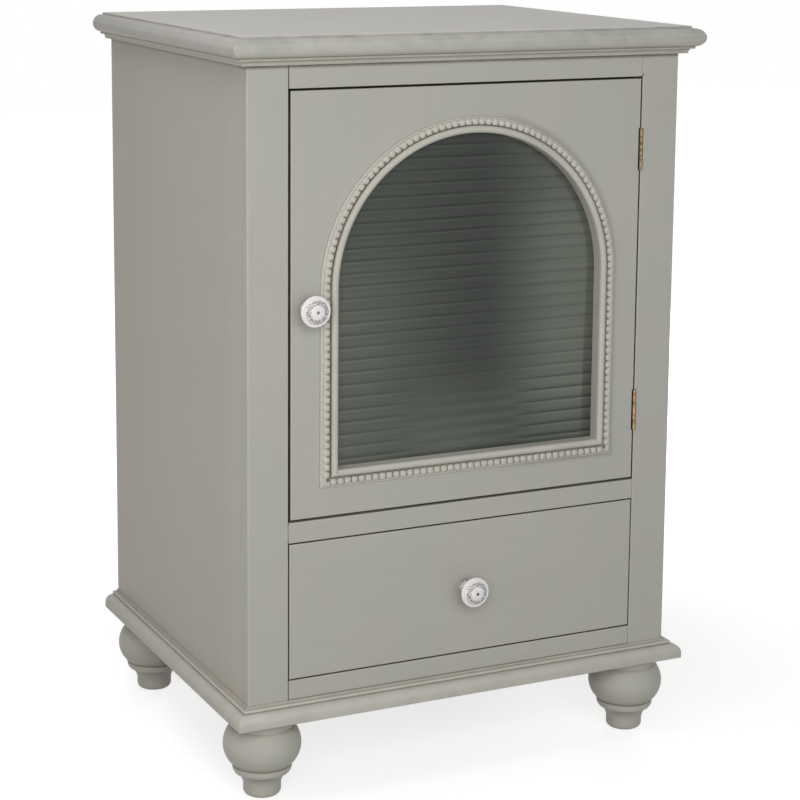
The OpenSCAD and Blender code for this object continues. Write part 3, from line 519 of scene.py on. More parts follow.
def woodMaterial(name, axis):
    # Bare wood whose grain runs along one axis
    material, tree, shader, relief = newMaterial(name, 0.25, 0.0003)
    made = useGroup(tree, "wood", Pale=linear(woodLook["pale"]), Dark=linear(woodLook["dark"]),
                    Grain=woodLook[axis])
    connectAll(shader, relief, *made.values())
    return material


metalLook = {"dark": ("7F7470", "4B4440", 420.0), "brass": ("AE9670", "6A5942", 260.0),
             "steel": ("B4B4B0", "77756F", 420.0)}
hingeLook = {"axisX": 187.6, "strip": 0.75, "edge": "574838"}


def metalMaterial(name, hinge=False):
    # Old metal with a bright and a dull colour
    bright, dull, spots = metalLook[name]
    material, tree, shader, relief = newMaterial("old_" + name, 0.3, 0.0001, {"Metallic": 1.0})
    made = useGroup(tree, "metal", Bright=linear(bright), Dull=linear(dull), Spots=spots)
    if hinge:
        # Painted highlight and shade: the rolled barrel is bright along its front and brown beside it
        beside = calc("ABSOLUTE", axesOf(objectPlace(tree))[0] - hingeLook["axisX"] / 1000)
        strip = hingeLook["strip"] / 1000
        made["Color"] = blendColour(ramp(beside, strip, strip * 1.8), made["Color"],
                                    linear(hingeLook["edge"]))
    connectAll(shader, relief, *made.values())
    return material


def catchMaterial():
    # Brown moulded plastic with a fine grained skin
    material, tree, shader, relief = newMaterial("catch_plastic", 0.3, 0.0001)
    grain = noise(objectPlace(tree), 1500.0)
    connectAll(shader, relief, blendColour(grain, linear("4A3A2A"), linear("6B5742")),
               0.35 + grain * 0.2, grain)
    return material


chinaLook = {"glaze": "E8E2DE", "crackle": "B5ACA2", "ink": "33333B", "wash": "93939A",
             "ringIn": 0.40, "ringOut": 0.80}


def chinaMaterial():
    # White crackled glaze with a painted ring of small grey flowers round the face
    s = chinaLook
    material, tree, shader, relief = newMaterial("knob_china", 0.12, 0.0002,
                                                 {"Coat Weight": 0.6, "Coat Roughness": 0.06})
    faceNode = tree.nodes.new("ShaderNodeUVMap")
    faceNode.uv_map = "face"
    face = Wire(faceNode.outputs[0])
    wobble = noise(face, 9.0, 3.0, 0.6)
    radius = vectorCalc("LENGTH", vectorCalc("SUBTRACT", face, (0.5, 0.5, 0.0))) * 2.0
    radius += (wobble - 0.5) * 0.16
    band = ramp(radius, s["ringIn"], s["ringIn"] + 0.1)
    band *= ramp(radius, s["ringOut"] - 0.1, s["ringOut"], 1.0, 0.0)
    petals = addNode("TexVoronoi", {"Vector": face, "Scale": 17.0, "Smoothness": 0.3}, "Distance",
                     voronoi_dimensions="2D", feature="SMOOTH_F1")
    leafy = ramp(noise(face, 30.0, 3.0, 0.65), 0.42, 0.56)
    ink = band * (ramp(petals, 0.22, 0.52, 1.0, 0.0) * leafy)
    wash = band * ramp(noise(face, 12.0), 0.4, 0.6, 0.1, 0.75)
    cracks = addNode("TexVoronoi", {"Vector": objectPlace(tree), "Scale": 420.0}, "Distance",
                     feature="DISTANCE_TO_EDGE")
    crack = ramp(cracks, 0.0, 0.05, 1.0, 0.0)
    speck = ramp(noise(face, 36.0), 0.54, 0.62, 0.0, 0.5)
    tone = linear(s["glaze"])
    for share, key in ((crack * 0.45, "crackle"), (speck, "wash"), (wash, "wash"), (ink, "ink")):
        tone = blendColour(share, tone, linear(s[key]))
    connectAll(shader, relief, tone, 0.2 + wobble * 0.1, 1.0 - crack)
    return material


glassLook = {
    "dark": "3B3F39", "light": "72776C", "stop": "54524A", "roughness": 0.25, "ior": 1.5,
    "specular": 0.2, "transmission": 0.4, "firstLine": 0.3171, "pitch": 0.01178, "swing": 0.30,
    "wave": 0.1, "foot": 0.22, "stopSeen": (0.0108, 0.0078),
    # from none to all of: the low and the high part, the right half and the two sides of the centre
    "low": (0.408, 0.372), "high": (0.425, 0.46), "rightHalf": (0.03, 0.065),
    "centre": ((-0.085, -0.035), (0.07, 0.045)),
    # share of the height of one reed, and how light it is there
    "reed": [(0.0, 0.25), (0.06, 0.0), (0.14, 0.04), (0.24, 0.42), (0.4, 0.54), (0.72, 0.52),
             (0.83, 0.66), (0.9, 1.0), (0.97, 0.85), (1.0, 0.25)],
}


def glassMaterial():
    # Reeded grey-green glass: its ribs are in the mesh. Each has a line of painted shade at its foot
    # and a painted highlight at its head, and wide soft patches are painted light of the pale inside
    # seen through it.
    s = glassLook
    material, tree, shader, relief = newMaterial("reeded_glass", 0.1, 0.0003, {
        "Transmission Weight": s["transmission"], "IOR": s["ior"],
        "Specular IOR Level": s["specular"]})
    middleX, radius, sillZ, springZ = windowMetres.values()
    place = objectPlace(tree)
    x, _, z = axesOf(place)
    bend = noise(place, 11.0, 1.0) - 0.5
    phase = (z - s["firstLine"]) / s["pitch"] + bend * 0.12

    def paintedReedShading(shift):
        # The painted shading of one reed by its share of the height, which repeats
        curve = addNode("ValToRGB", {0: calc("FRACT", phase + shift)})
        stops = curve.socket.node.color_ramp.elements
        for at, level in s["reed"][1:-1]:
            stops.new(at)
        for stop, (at, level) in zip(stops, s["reed"]):
            stop.position = at
            stop.color = (level, level, level, 1)
        return curve - 0.5

    # Low down the lines sit a little lower, and in the low centre soft broad bands take their place
    low, high, rightHalf = ramp(z, *s["low"]), ramp(z, *s["high"]), ramp(x, *s["rightHalf"])
    lowCentre = low * (ramp(x, *s["centre"][0]) * ramp(x, *s["centre"][1]))
    lead = calc("MAXIMUM", low, high * rightHalf)
    strength = ramp(x, -0.06, -0.13, 0.85, 1.2) + ramp(z, 0.47, 0.55, 0.0, 0.4)
    strength += high * (ramp(x, -0.085, -0.03) * ramp(x, 0.04, 0.01)) * 0.6
    strength += low * ramp(x, 0.03, 0.1) * 0.75
    strength *= 1.0 - high * rightHalf * 0.5
    strength *= 1.0 - lowCentre
    lines = paintedReedShading(lead * 0.075) * strength * (2 * s["swing"])
    # where a soft wave lies over the lines, its peak as a share of a reed and its depth
    waves = [(lowCentre, 0.13, 1.1),
             (lowCentre * (ramp(x, -0.01, 0.015) * ramp(z, 0.376, 0.352)), 0.18, 1.2),
             (ramp(z, 0.455, 0.485) * ramp(x, 0.0, -0.06), 0.3, 1.0),
             (high * ramp(x, 0.025, 0.06), 0.38, 0.8),
             (low * ramp(x, 0.05, 0.09), 0.6, 1.0)]
    for mask, peak, depth in waves:
        lines += mask * calc("COSINE", (phase - peak) * (2 * math.pi)) * (depth * s["wave"])
    # Painted shadow along the foot of the glass, above the sill
    lines -= ramp(z, sillZ + 0.0055, sillZ + 0.001) * ramp(x, -0.1, -0.05) * s["foot"]

    # Painted light of the pale inside seen through the glass: at the left, at the right and low in
    # the middle
    left = ramp(x, 0.02, -0.15, 0.0, 0.76) * ramp(z, 0.45, 0.57, 1.0, 0.4)
    right = ramp(x, 0.015, 0.115) * ramp(z, 0.32, 0.4, 0.45, 1.0) * ramp(z, 0.52, 0.6, 1.0, 0.7)
    under = ramp(z, 0.42, 0.33, 0.0, 0.55) * ramp(x, -0.1, -0.01) * ramp(x, 0.0, 0.08, 1.0, 0.15)
    tone = blendColour(left + right + under, linear(s["dark"]), linear(s["light"]))
    # Painted shade: the glazing stop's face seen through the glass as a dark crescent. Its distance
    # is that of the window's own circle, moved to the left
    shift = x - ramp(z, 0.36, 0.52, *[middleX - seen for seen in s["stopSeen"]])
    above = calc("MAXIMUM", z - springZ, 0.0)
    stop = ramp(calc("SQRT", shift * shift + above * above), radius - 0.0004, radius + 0.0004, 0.0,
                ramp(z, 0.38, 0.46, 0.75, 0.5))
    tone = blendColour(stop, tone, linear(s["stop"]))
    smear = noise(stretched(place, 9.0, 9.0, 150.0), 1.0)
    streak = noise(stretched(place, 16.0, 16.0, 560.0), 1.0)
    shade = 1.0 + (smear - 0.5) * 0.22 + (streak - 0.5) * 0.28 + lines
    dust = noise(place, 240.0, 3.0, 0.6)
    connectAll(shader, relief, blendColour(1.0, tone, grey(shade), "MULTIPLY"),
               s["roughness"] + dust * 0.1, smear)
    return material


paints = {
    "painted_turned": {"brush": "turned", "paint": "foot", "marks": True},
    "painted_mould": {"brush": "across", "marks": True},
    "painted_top": {"brush": "flat", "marks": True},
    "painted_base": {"brush": "flat", "paint": "base", "marks": True},
    "painted_bead": {"brush": "turned", "paint": "pale", "glaze": "valleyDark", "marks": True,
                     "beads": True},
    "painted_upright": {"brush": "upright"},
    "painted_side": {"brush": "upright", "paint": "side", "shadedUnderCornice": True, "paintedSideLight": True},
    "painted_across": {"brush": "across"},
}
materials = {name: paintMaterial(name, **look) for name, look in paints.items()} | {
    "wood_x": woodMaterial("wood_x", "x"), "wood_y": woodMaterial("wood_y", "y"),
    "brass": metalMaterial("brass", hinge=True), "steel": metalMaterial("steel"),
    "darkSteel": metalMaterial("dark"), "catch": catchMaterial(), "china": chinaMaterial(),
    "glass": glassMaterial(),
}
print("materials made:", len(materials))


# Top board, cornice and base board

def makeEdge(name, outline, baseZ, cornerRadius, material, replaced, sideShade=0.0, loopV=False):
    # A profile of (out, up) carried along the left side, the front and the right side. At a corner
    # each of its lines turns on a small arc, whose centre lies cornerRadius inside both lines.
    out, up, marks = outline
    cornerSteps = 4
    half, back = cupboard["halfWidth"], cupboard["depth"]
    turn = np.radians(np.linspace(180, 270, cornerSteps + 1))[None]
    x = -half - out + cornerRadius + cornerRadius * np.cos(turn)
    y = -out + cornerRadius + cornerRadius * np.sin(turn)
    ends = np.full_like(out, back)
    x = np.concatenate([-half - out, x, -x[:, ::-1], half + out], 1)
    y = np.concatenate([ends, y, y[:, ::-1], ends], 1)
    # A painted highlight down each rounded corner, and painted shade on the sides, or painted light
    # where sideShade is below 0
    corner, side = np.zeros(x.shape[1]), np.zeros(x.shape[1])
    corner[1:2 + cornerSteps] = corner[-2 - cornerSteps:-1] = 0.4
    side[:1 + cornerSteps // 2] = side[-1 - cornerSteps // 2:] = 1
    marks["arris"] = np.clip(marks["arris"] + corner * (out > 1), 0, 1)
    marks["shade"] = marks["shade"] + sideShade * side * (out > 1)
    edge = patch(surface(x, y, baseZ + up), marks, loopV=loopV, capRows=not loopV, capColumns=True)
    makePiece(name, [edge], materials[material], replaced)


topBoard = {"thickness": 20.0, "overhang": 20.0, "stepHeight": 2.2, "stepIn": 10.8, "ease": 0.6,
            "corner": 1.6}


def makeTopBoard():
    # Round nose under a low step: half a circle, then a small riser and the flat of the top
    s = topBoard
    nose = (s["thickness"] - s["stepHeight"]) / 2
    stepOut = s["overhang"] - s["stepIn"]
    high = s["thickness"]
    noseArc = partial(arc, s["overhang"] - nose, nose, nose)
    # Its shade marks paint shade on the riser and the upper nose, and a little painted light low on
    # its front
    outline = profile(
        ([(-12, 0), (0, 0), (9, 0)], 0, 0.4),
        (noseArc(-90, -72, 2), 0, 0.65),
        (noseArc(-62, -36, 3), 0, 0.1, -0.35),
        (noseArc(-28, -10, 2), 0, 0, 0.3),
        (noseArc(0, 24, 3), 0, 0, 0.6),
        (noseArc(34, 64, 4), 0, 0, 1.0),
        (noseArc(72, 88, 2), 0, 0, 1.2),
        ([(stepOut + 0.15, 2 * nose), (stepOut, 2 * nose + 0.2)], 0, 0.12, 1.3),
        ((stepOut, high - s["ease"]), 0, 0, 1.25),
        (arc(stepOut - s["ease"], high - s["ease"], s["ease"], 20, 90, 3), 0.1, 0, 0.1),
        ([(stepOut - 2.4, high), (-12, high)], 0, 0))
    makeEdge("topBoardMoulded", outline, cupboard["topZ"], s["corner"], "painted_top", ["top_board"])


cornice = {"height": 7.0, "out": 11.8, "lower": 6.8, "hollow": 3.4, "lip": 1.3,
           "corner": 0.8, "sideShade": -1.1}


def makeCornice():
    # A strip with an upper fillet, a hollow quarter circle and a lower fillet
    s = cornice
    centre, shelf = s["lower"] + s["hollow"], s["lip"] + s["hollow"]
    # Its shade marks paint shade on its front fillets and hollow, and its sideShade below 0 paints
    # its sides lighter
    outline = profile(
        ((0, 0), 0, 0.5),
        ((s["lower"] - 0.3, 0), 0, 0.4, 0.5),
        ([(s["lower"], 0.3), (s["lower"], s["lip"])], 0, 0.05, 0.8),
        (arc(centre, s["lip"], s["hollow"], 170, 100, 6), 0, 0.3, 0.1),
        ((centre, shelf), 0, 0.3, 0.3),
        ([(s["out"] - 0.3, shelf), (s["out"], shelf + 0.3)], 0, 0, 0.9),
        ((s["out"], s["height"] - 0.9), 0, 0.1, 0.9),
        ([(s["out"], s["height"]), (0, s["height"])], 0, 1))
    makeEdge("corniceStrip", outline, cupboard["corniceZ"], s["corner"], "painted_mould",
             ["cornice_front", "cornice_left", "cornice_right"], s["sideShade"], loopV=True)


baseBoard = {"thickness": 19.0, "overhang": 15.0, "filletHeight": 1.6, "filletOut": 1.8,
             "beadHeight": 3.2, "beadOut": 6.6, "round": 8.3, "edge": 1.0, "corner": 1.2,
             "sideShade": 0.2}


def makeBaseBoard():
    # Straight face, quarter round, small bead and fillet, one over the other
    s = baseBoard
    bead = s["beadHeight"] / 2
    beadTop = s["thickness"] - s["filletHeight"]
    roundTop = beadTop - s["beadHeight"]
    straight, face, beadX = roundTop - s["round"], s["overhang"], s["beadOut"] - bead
    # Its shade marks paint shade on the fillets at its top, and its sideShade darkens its sides
    outline = profile(
        ([(-12, 0), (0, 0), (face - 5, 0), (face - 1.5, 0)], 0, 0),
        (arc(face - s["edge"], s["edge"], s["edge"], -80, 0, 4), 0.1, 0),
        ([(face, 2.6), (face, straight)], 0, 0),
        (arc(face - s["round"], straight, s["round"], 8, 84, 8), 0, 0),
        ([(face - s["round"], roundTop), (beadX + 0.25, roundTop + 0.02)], 0, 0.3),
        (arc(beadX, beadTop - bead, bead, -70, 70, 7), 0.05, 0),
        ([(beadX, beadTop), (s["filletOut"] + 0.1, beadTop)], 0, 0.25, 0.3),
        ((s["filletOut"], beadTop + 0.2), 0, 0.2, 0.5),
        ([(s["filletOut"], s["thickness"] - 0.3), (s["filletOut"] - 0.3, s["thickness"])], 0, 0, 0.6),
        ((0.2, s["thickness"]), 0, 0.45, 0.6),
        ((-12, s["thickness"]), 0, 0))
    makeEdge("baseBoardMoulded", outline, cupboard["baseZ"], s["corner"], "painted_base",
             ["base_board"], s["sideShade"])


makeTopBoard()
makeCornice()
makeBaseBoard()
print("top, cornice and base made")


# Feet

foot = {
    "axisX": 204.2, "axisY": (28.8, 339.5), "height": 81.5, "collarHeight": 11.5,
    "collarRadius": 30.6, "ballRadius": 37.9, "ballCurve": 26.5, "belly": 30.0, "ballEnd": 50.3,
    "ringRadius": 28.9, "ringCurve": 8.5, "ringTop": 51.0, "ringDepth": 52.4, "ringEnd": 58.2,
    "ringStep": 0.4, "crease": 27.6,
    "hollowEnd": 72.0, "shankRadius": 18.3, "toeEdge": 5.0, "segments": 96,
}


def makeFoot(name, x, y):
    # A turned foot: its half outline, from the floor up, swept round an upright axis
    s = foot
    down = s["height"]
    collarZ, bellyZ, ringZ, ringEnd, hollowEnd = [
        down - s[key] for key in ("collarHeight", "belly", "ringDepth", "ringEnd", "hollowEnd")]
    ringX, ballX = s["ringRadius"] - s["ringCurve"], s["ballRadius"] - s["ballCurve"]
    hollowTop = ringX + math.sqrt(s["ringCurve"] ** 2 - (ringEnd - ringZ) ** 2) - s["ringStep"]
    hollowOut, hollowRise = hollowTop - s["shankRadius"], ringEnd - hollowEnd
    hollow = (hollowOut ** 2 + hollowRise ** 2) / (2 * hollowOut)

    def angleAt(rise, radius):
        return math.degrees(math.asin(rise / radius))

    sweep = angleAt(hollowRise, hollow)
    ringLow = angleAt(ringEnd - ringZ, s["ringCurve"])
    ringHigh = angleAt(down - s["ringTop"] - ringZ, s["ringCurve"])
    ballLow = angleAt(s["belly"] - s["ballEnd"], s["ballCurve"])
    ballHigh = angleAt(s["belly"] - s["collarHeight"], s["ballCurve"])
    toe = s["toeEdge"]
    hollowArc = partial(arc, s["shankRadius"] + hollow, hollowEnd, hollow)
    ringArc = partial(arc, ringX, ringZ, s["ringCurve"])
    ballArc = partial(arc, ballX, bellyZ, s["ballCurve"])
    # Its shade marks paint shade in the hollow under the ring and a little light on the ring's lower
    # half
    radius, height, marks = profile(
        ((s["shankRadius"] - toe - 2, 0), 0, 0.4),
        (arc(s["shankRadius"] - toe, toe, toe, -84, 0, 7), 0, 0),
        (hollowArc(180, 180 - sweep * 0.35, 4), 0, 0, 0.1),
        (hollowArc(180 - sweep * 0.5, 180 - sweep * 0.8, 4), 0, 0, 0.3),
        (hollowArc(180 - sweep * 0.88, 180 - sweep, 2), 0, 0.2, 0.5),
        ((hollowTop + s["ringStep"] * 0.5, ringEnd + 0.05), 0, 0.45, 0.3),
        (ringArc(ringLow + 2, -6, 8), 0.15, 0, -0.2),
        (ringArc(0, ringHigh, 2), 0.1, 0.2),
        ((s["crease"], down - (s["ringTop"] + s["ballEnd"]) / 2), 0, 0.75),
        (ballArc(ballLow, ballLow + 2, 1), 0, 1),
        (ballArc(ballLow + 5, ballLow + 9, 1), 0, 0.15),
        (ballArc(ballLow + 14, ballHigh - 6, 24), 0, 0),
        (ballArc(ballHigh - 3, ballHigh, 1), 0, 0.3),
        ((s["collarRadius"], collarZ + 0.1), 0.1, 0.25),
        ([(s["collarRadius"], collarZ + 1.5), (s["collarRadius"], down - 1.2)], 0, 0),
        ((s["collarRadius"], down), 0, 0.8))
    angle = roundTurn(s["segments"])
    points = surface(x + radius * np.cos(angle), y + radius * np.sin(angle), height)
    makePiece("turned_" + name, [patch(points, marks, loopU=True, capRows=True)],
              materials["painted_turned"], [name])


for endName, footY in zip(("front", "back"), foot["axisY"]):
    for sideName, footX in (("left", -foot["axisX"]), ("right", foot["axisX"])):
        makeFoot(f"foot_{endName}_{sideName}", footX, footY)
print("feet made")


# Window moulding with its beads

def mouldingLine(foot):
    # Its section from the window outwards: (away from the window, out from the door)
    s = moulding
    half = s["band"] / 2
    row, flat = s["beadRow"], s["backing"]
    # Its arris marks paint light on the ridge beside the beads and a highlight on the outer fillet
    return profile(
        ((0, 0), 0, 0.2),
        (arc(half, s["bandHeight"] - half, half, 178, 6, 16), 0, 0),
        (arc(half, s["bandHeight"] - half, half, 2, 0, 1), 0, 0.35),
        ((s["band"], flat + 0.5), 0, 0.8),
        ((s["band"] + 0.15, flat), 0, 0.9),
        ((row - 2.9, flat), 0, 0.5),
        ((row - 1.0, flat + 0.8), 0, 0.1),
        ([(row + 0.6, s["ridge"]), (row + 2.5, s["ridge"])], 0.4, 0),
        ((row + 3.8, flat + 0.2), 0, 0.1),
        ((s["width"] - 1.3, flat), 0.2, 0),
        ((s["width"] - 0.8, flat), 0.5, 0),
        (arc(s["width"] - 0.4, flat - 0.4, 0.4, 90, 0, 3), 0.5, 0),
        ((s["width"], 0), 0, foot))


def bead(short):
    # Half a squarish ball on a short stem: its outline is |x|^n + |z|^n = r^n, a share shorter on
    # the window's side. The line of glaze is at its foot there.
    s = moulding
    upper = arc(0, 0, 1, 4, 84, 5) ** 0.75 * (s["beadRadius"], s["beadRise"]) + (0, s["beadOut"])
    # Its arris marks paint a highlight on the top of each bead
    away, out, marks = profile(
        ((s["beadRadius"], s["backing"] - 0.3), 0, 1),
        ((s["beadRadius"], s["beadOut"]), 0, 0.7),
        (upper[:1], 0, 0.25),
        (upper[1:2], 0.1, 0),
        (upper[2:], 0.4, 0))
    angle = roundTurn(s["beadSegments"])
    power = s["power"]
    squarer = (np.abs(np.cos(angle)) ** power + np.abs(np.sin(angle)) ** power) ** (-1 / power)
    inner = np.clip(0.15 - np.cos(angle), 0, 1)
    radius = away * squarer * (1 - short * inner)
    marks |= {"along": 0.5, "away": s["beadRow"], "groove": marks["groove"] * inner}
    return patch(surface(radius * np.cos(angle), -out, radius * np.sin(angle)), marks, loopU=True,
                 capRows=True)


def makeMoulding():
    # The section is carried round the arch, down both sides to a mitre, and along the sill. Round
    # the arch its part beyond the band is narrower by a share of the sine of the angle.
    s, w = moulding, window
    middle, spring, sill = w["middleX"], w["springZ"], w["sillZ"]
    away, out, marks = mouldingLine(0.25)
    row = w["radius"] + s["beadRow"]
    chance = np.random.default_rng(s["seed"])

    def narrowed(away, turn):
        beyond = np.clip(away - s["band"], 0, None)
        return away - beyond * s["crownSqueeze"] * np.sin(turn)

    def finished(name, points, along, places, turns, node, short=0.045):
        sizes = chance.uniform(0.975, 1.0, len(places))
        strip = patch(points, marks | {"along": along, "away": away}, loopV=True, capColumns=True)
        beads = repeated(bead(short), places, sizes, turns + np.zeros(len(places)))
        makePiece(name, [strip, beads], materials["painted_bead"], [node], "door")

    turn = np.radians(np.linspace(0, 180, 121))[None]
    reach = w["radius"] + narrowed(away, turn)
    points = surface(middle + reach * np.cos(turn), -out, spring + reach * np.sin(turn))
    step = np.radians((np.arange(s["archBeads"]) + 0.5) * 180 / s["archBeads"])
    bent = w["radius"] + narrowed(s["beadRow"], step)
    places = surface(middle + bent * np.cos(step), 0, spring + bent * np.sin(step))
    finished("beadedArch", points, turn * s["archBeads"] / math.pi, places, step, "bead_arch")

    footZ = sill - s["beadRow"]
    rise = (spring - footZ) / s["sideBeads"]
    heights = footZ + rise * np.arange(1, int(s["sideBeads"]) + 1)
    ends = np.concatenate([sill - away, spring + 0 * away], 1)
    for name, sign, turns in (("left", -1, math.pi), ("right", 1, 0.0)):
        points = surface(middle + sign * (w["radius"] + away), -out, ends)
        places = surface(middle + sign * row, 0, heights)
        finished("beadedSide_" + name, points, (ends - footZ) / rise + 0.5, places, turns,
                 "bead_" + name)

    marks = mouldingLine(1.0)[2]
    ends = np.concatenate([-(w["radius"] + away), w["radius"] + away], 1)
    across = np.linspace(-row, row, s["bottomBeads"] + 1)[1:-1]
    along = (ends + row) / (2 * row) * s["bottomBeads"] + 0.5
    finished("beadedSill", surface(middle + ends, -out, sill - away), along,
             surface(middle + across, 0, footZ), -math.pi / 2, "bead_bottom", 0.0)


makeMoulding()
print("window moulding made")


# Reeded glass

glass = {"radius": 148.5, "foot": 315.4, "crestY": 8.0, "backY": 12.1, "pitch": 11.78,
         "firstLine": 317.1, "rise": 0.45, "samples": 12, "columns": 24, "ripple": 0.04}


def makeGlass():
    # Front: y is the crest plus the sag of a circle of radius R under each reed, R - sqrt(R² - d²),
    # with d the height from the reed's middle. Back: flat. Each row is as wide as the arch there.
    s, w = glass, window
    top = w["springZ"] + s["radius"]
    count = math.ceil((top - s["firstLine"]) / s["pitch"])
    evenly = s["firstLine"] + np.arange(-1, count * s["samples"] + 1) * s["pitch"] / s["samples"]
    crown = w["springZ"] + s["radius"] * np.sin(np.radians(np.linspace(60, 89.4, 30)))
    z = np.unique(np.round(np.concatenate([[s["foot"]], evenly[evenly < top - 0.05], crown]), 3))
    d = (((z - s["firstLine"]) / s["pitch"]) % 1 - 0.5) * s["pitch"]
    curve = ((s["pitch"] / 2) ** 2 + s["rise"] ** 2) / (2 * s["rise"])
    sag = curve - np.sqrt(curve ** 2 - d ** 2)
    above = np.clip(z - w["springZ"], 0, None)
    half = np.sqrt(np.clip(s["radius"] ** 2 - above ** 2, 0, None))
    t = np.linspace(-1, 1, s["columns"])
    x = np.concatenate([half[:, None] * t, half[:, None] * t[::-1]], 1)
    wave = s["ripple"] * (1 + np.sin(x * 0.05 + z[:, None] * 0.011) * np.cos(z[:, None] * 0.045)) / 2
    front = np.arange(2 * s["columns"])[None] < s["columns"]
    y = np.where(front, s["crestY"] + sag[:, None] + wave, s["backY"])
    pane = patch(surface(w["middleX"] + x, y, z[:, None]), loopU=True, capRows=True)
    makePiece("reededPane", [pane], materials["glass"], ["reeded_glass"], "door", 30)


makeGlass()
print("glass made")


# Knobs

knob = {"radius": 15.0, "length": 25.5, "rim": 2.2, "dome": 3.8, "footRadius": 7.5, "flange": 2.6,
        "waist": 5.6, "bore": 1.25, "groove": 0.45, "segments": 72,
        "doorPlace": (-170.0, 478.95), "drawerPlace": (0.0, 187.0)}


def makeKnob(name, place, body):
    # Foot, hollow waist, round rim, a shallow ring and a dome, swept round an axis out of the door
    s = knob
    rimX = s["radius"] - s["rim"]
    rimZ = s["length"] - s["dome"] - s["rim"]
    head = rimZ - s["rim"]
    waist = head / 2 + 0.4
    dome = (rimX ** 2 + s["dome"] ** 2) / (2 * s["dome"])

    def hollow(h):
        return s["waist"] + waist - np.sqrt(waist ** 2 - (h - head / 2) ** 2)

    heights = np.linspace(s["flange"] + 0.1, head - 0.6, 14)
    domeAngle = math.degrees(math.acos((rimX - 1.3) / dome))
    boreAngle = math.degrees(math.acos((s["bore"] + 0.1) / dome))
    grooveZ = rimZ + s["rim"]
    radius, out, marks = profile(
        ([(s["bore"], 0), (s["footRadius"] - 0.4, 0), (s["footRadius"], 0.4),
          (s["footRadius"], s["flange"] - 0.3), (s["footRadius"] - 0.2, s["flange"])], 0, 0),
        (surface(np.minimum(hollow(heights), rimX), heights, 0)[:, :2], 0, 0),
        ([(hollow(head - 0.2), head), (rimX - 0.3, head)], 0, 0),
        (arc(rimX, rimZ, s["rim"], -84, 84, 16), 0, 0),
        ([(rimX - 0.15, grooveZ - s["groove"] * 0.5),
          (rimX - 0.6, grooveZ - s["groove"] * 0.4)], 0, 1),
        (arc(0, s["length"] - dome, dome, domeAngle, boreAngle, 14), 0, 0),
        ((s["bore"], s["length"] - 0.25), 0, 0))
    angle = roundTurn(s["segments"])
    points = surface(place[0] + radius * np.cos(angle), -out, place[1] + radius * np.sin(angle))

    def faceMap(at):
        # The knob's face as a square from 0 to 1
        return (at[:, ::2] - place) / (2 * s["radius"]) + 0.5

    makePiece("china_" + name, [patch(points, marks, loopU=True, loopV=True)], materials["china"],
              [name], body, 45, faceMap)


makeKnob("door_knob", knob["doorPlace"], "door")
makeKnob("drawer_knob", knob["drawerPlace"], "drawer")
print("knobs made")


# Boards and fittings that keep their CAD shape

far = 400.0
boards = {
    # name: brush direction, lowest corner, highest corner, how dark its left and right joints are
    "stile_left": ("upright", (-230, 0, -far), (-189, 20, 2 * far), (0, 0)),
    "stile_right": ("upright", (189, 0, -far), (230, 20, 2 * far), (0, 0)),
    "top_rail": ("across", (-189, 0, 683), (189, 20, 740), (1.0, 0.6)),
    "middle_rail": ("across", (-189, 0, 254.5), (189, 20, 274.5), (0.8, 0.7)),
    "bottom_rail": ("across", (-189, 0, 90), (189, 20, 119.5), (0.85, 0.5)),
    "door_leaf": ("upright", (-186.6, 0, 276.9), (187.4, 20, 681), (0, 0)),
    "door_head": ("upright", (-186.6, 0, 276.9), (187.4, 20, 681), (0, 0)),
    "drawer_front": ("across", (-187.8, 0, 120.8), (187.8, 20, 253.2), (0, 0)),
}
# How dark the painted gap shade is on a board, where it is not 1
gapDepth = {"middle_rail": 0.4}
# which pieces keep one plain finish
plain = {
    "painted_side": "side_panel_left side_panel_right",
    "painted_upright": "back_panel glazing_stop_left glazing_stop_right",
    "painted_across": "cupboard_floor glazing_stop_arch glazing_stop_bottom",
    "wood_x": "drawer_stops drawer_back drawer_bottom",
    "wood_y": "drawer_runner_left drawer_runner_right drawer_guide_left drawer_guide_right "
              "drawer_kickers top_cleats drawer_side_left drawer_side_right",
    "catch": "catch_body",
    "darkSteel": "door_knob_bolt drawer_knob_bolt",
    "steel": "foot_bolts cleat_screws back_screws catch_screws catch_strike glazing_pins",
    "brass": " ".join(name for name in nodes if "hinge" in name),
}


def dress(name, material):
    for materialSlot in nodes[name].material_slots:
        materialSlot.material = material


for name, (brush, *board) in boards.items():
    dress(name, paintMaterial("painted_" + name, brush, glaze="line", board=board, arris=0.22,
                              groove=gapDepth.get(name, 1.0), windowShaded=name.startswith("door"),
                              shadedUnderCornice=name in ("stile_left", "stile_right", "top_rail")))
for key, names in plain.items():
    for name in names.split():
        dress(name, materials[key])
print("boards and fittings dressed")


# Floor, light and camera

stage = {"floorSize": 6.0, "floorTone": 0.36, "shownTone": 0.42, "glowNear": 0.74, "glowFar": 1.0,
         "glowFrom": 0.35, "glowTo": 1.1, "skyTone": (0.10, 0.10, 0.10)}
lamps = {
    # name: place, what it looks at, width, power, colour
    "frontLamp": ((-1.04, -1.70, 1.00), (0.0, 0.0, 0.38), 1.0, 14.0, (1.0, 0.97, 1.0)),
    "frontWide": ((-0.2, -2.2, 1.0), (0.0, 0.0, 0.38), 1.6, 22.5, (0.93, 1.0, 0.98)),
    "leftLow": ((-2.0, -0.6, 0.7), (0.0, 0.0, 0.38), 1.2, 6.3, (1.0, 0.98, 0.9)),
    "topLamp": ((-0.7, 0.0, 2.2), (0.0, 0.0, 0.5), 1.4, 19.0, (0.92, 0.93, 1.0)),
    "backLamp": ((1.5, 1.7, 0.6), (0.0, 0.0, 0.38), 1.0, 26.0, (1.0, 0.97, 0.92)),
}


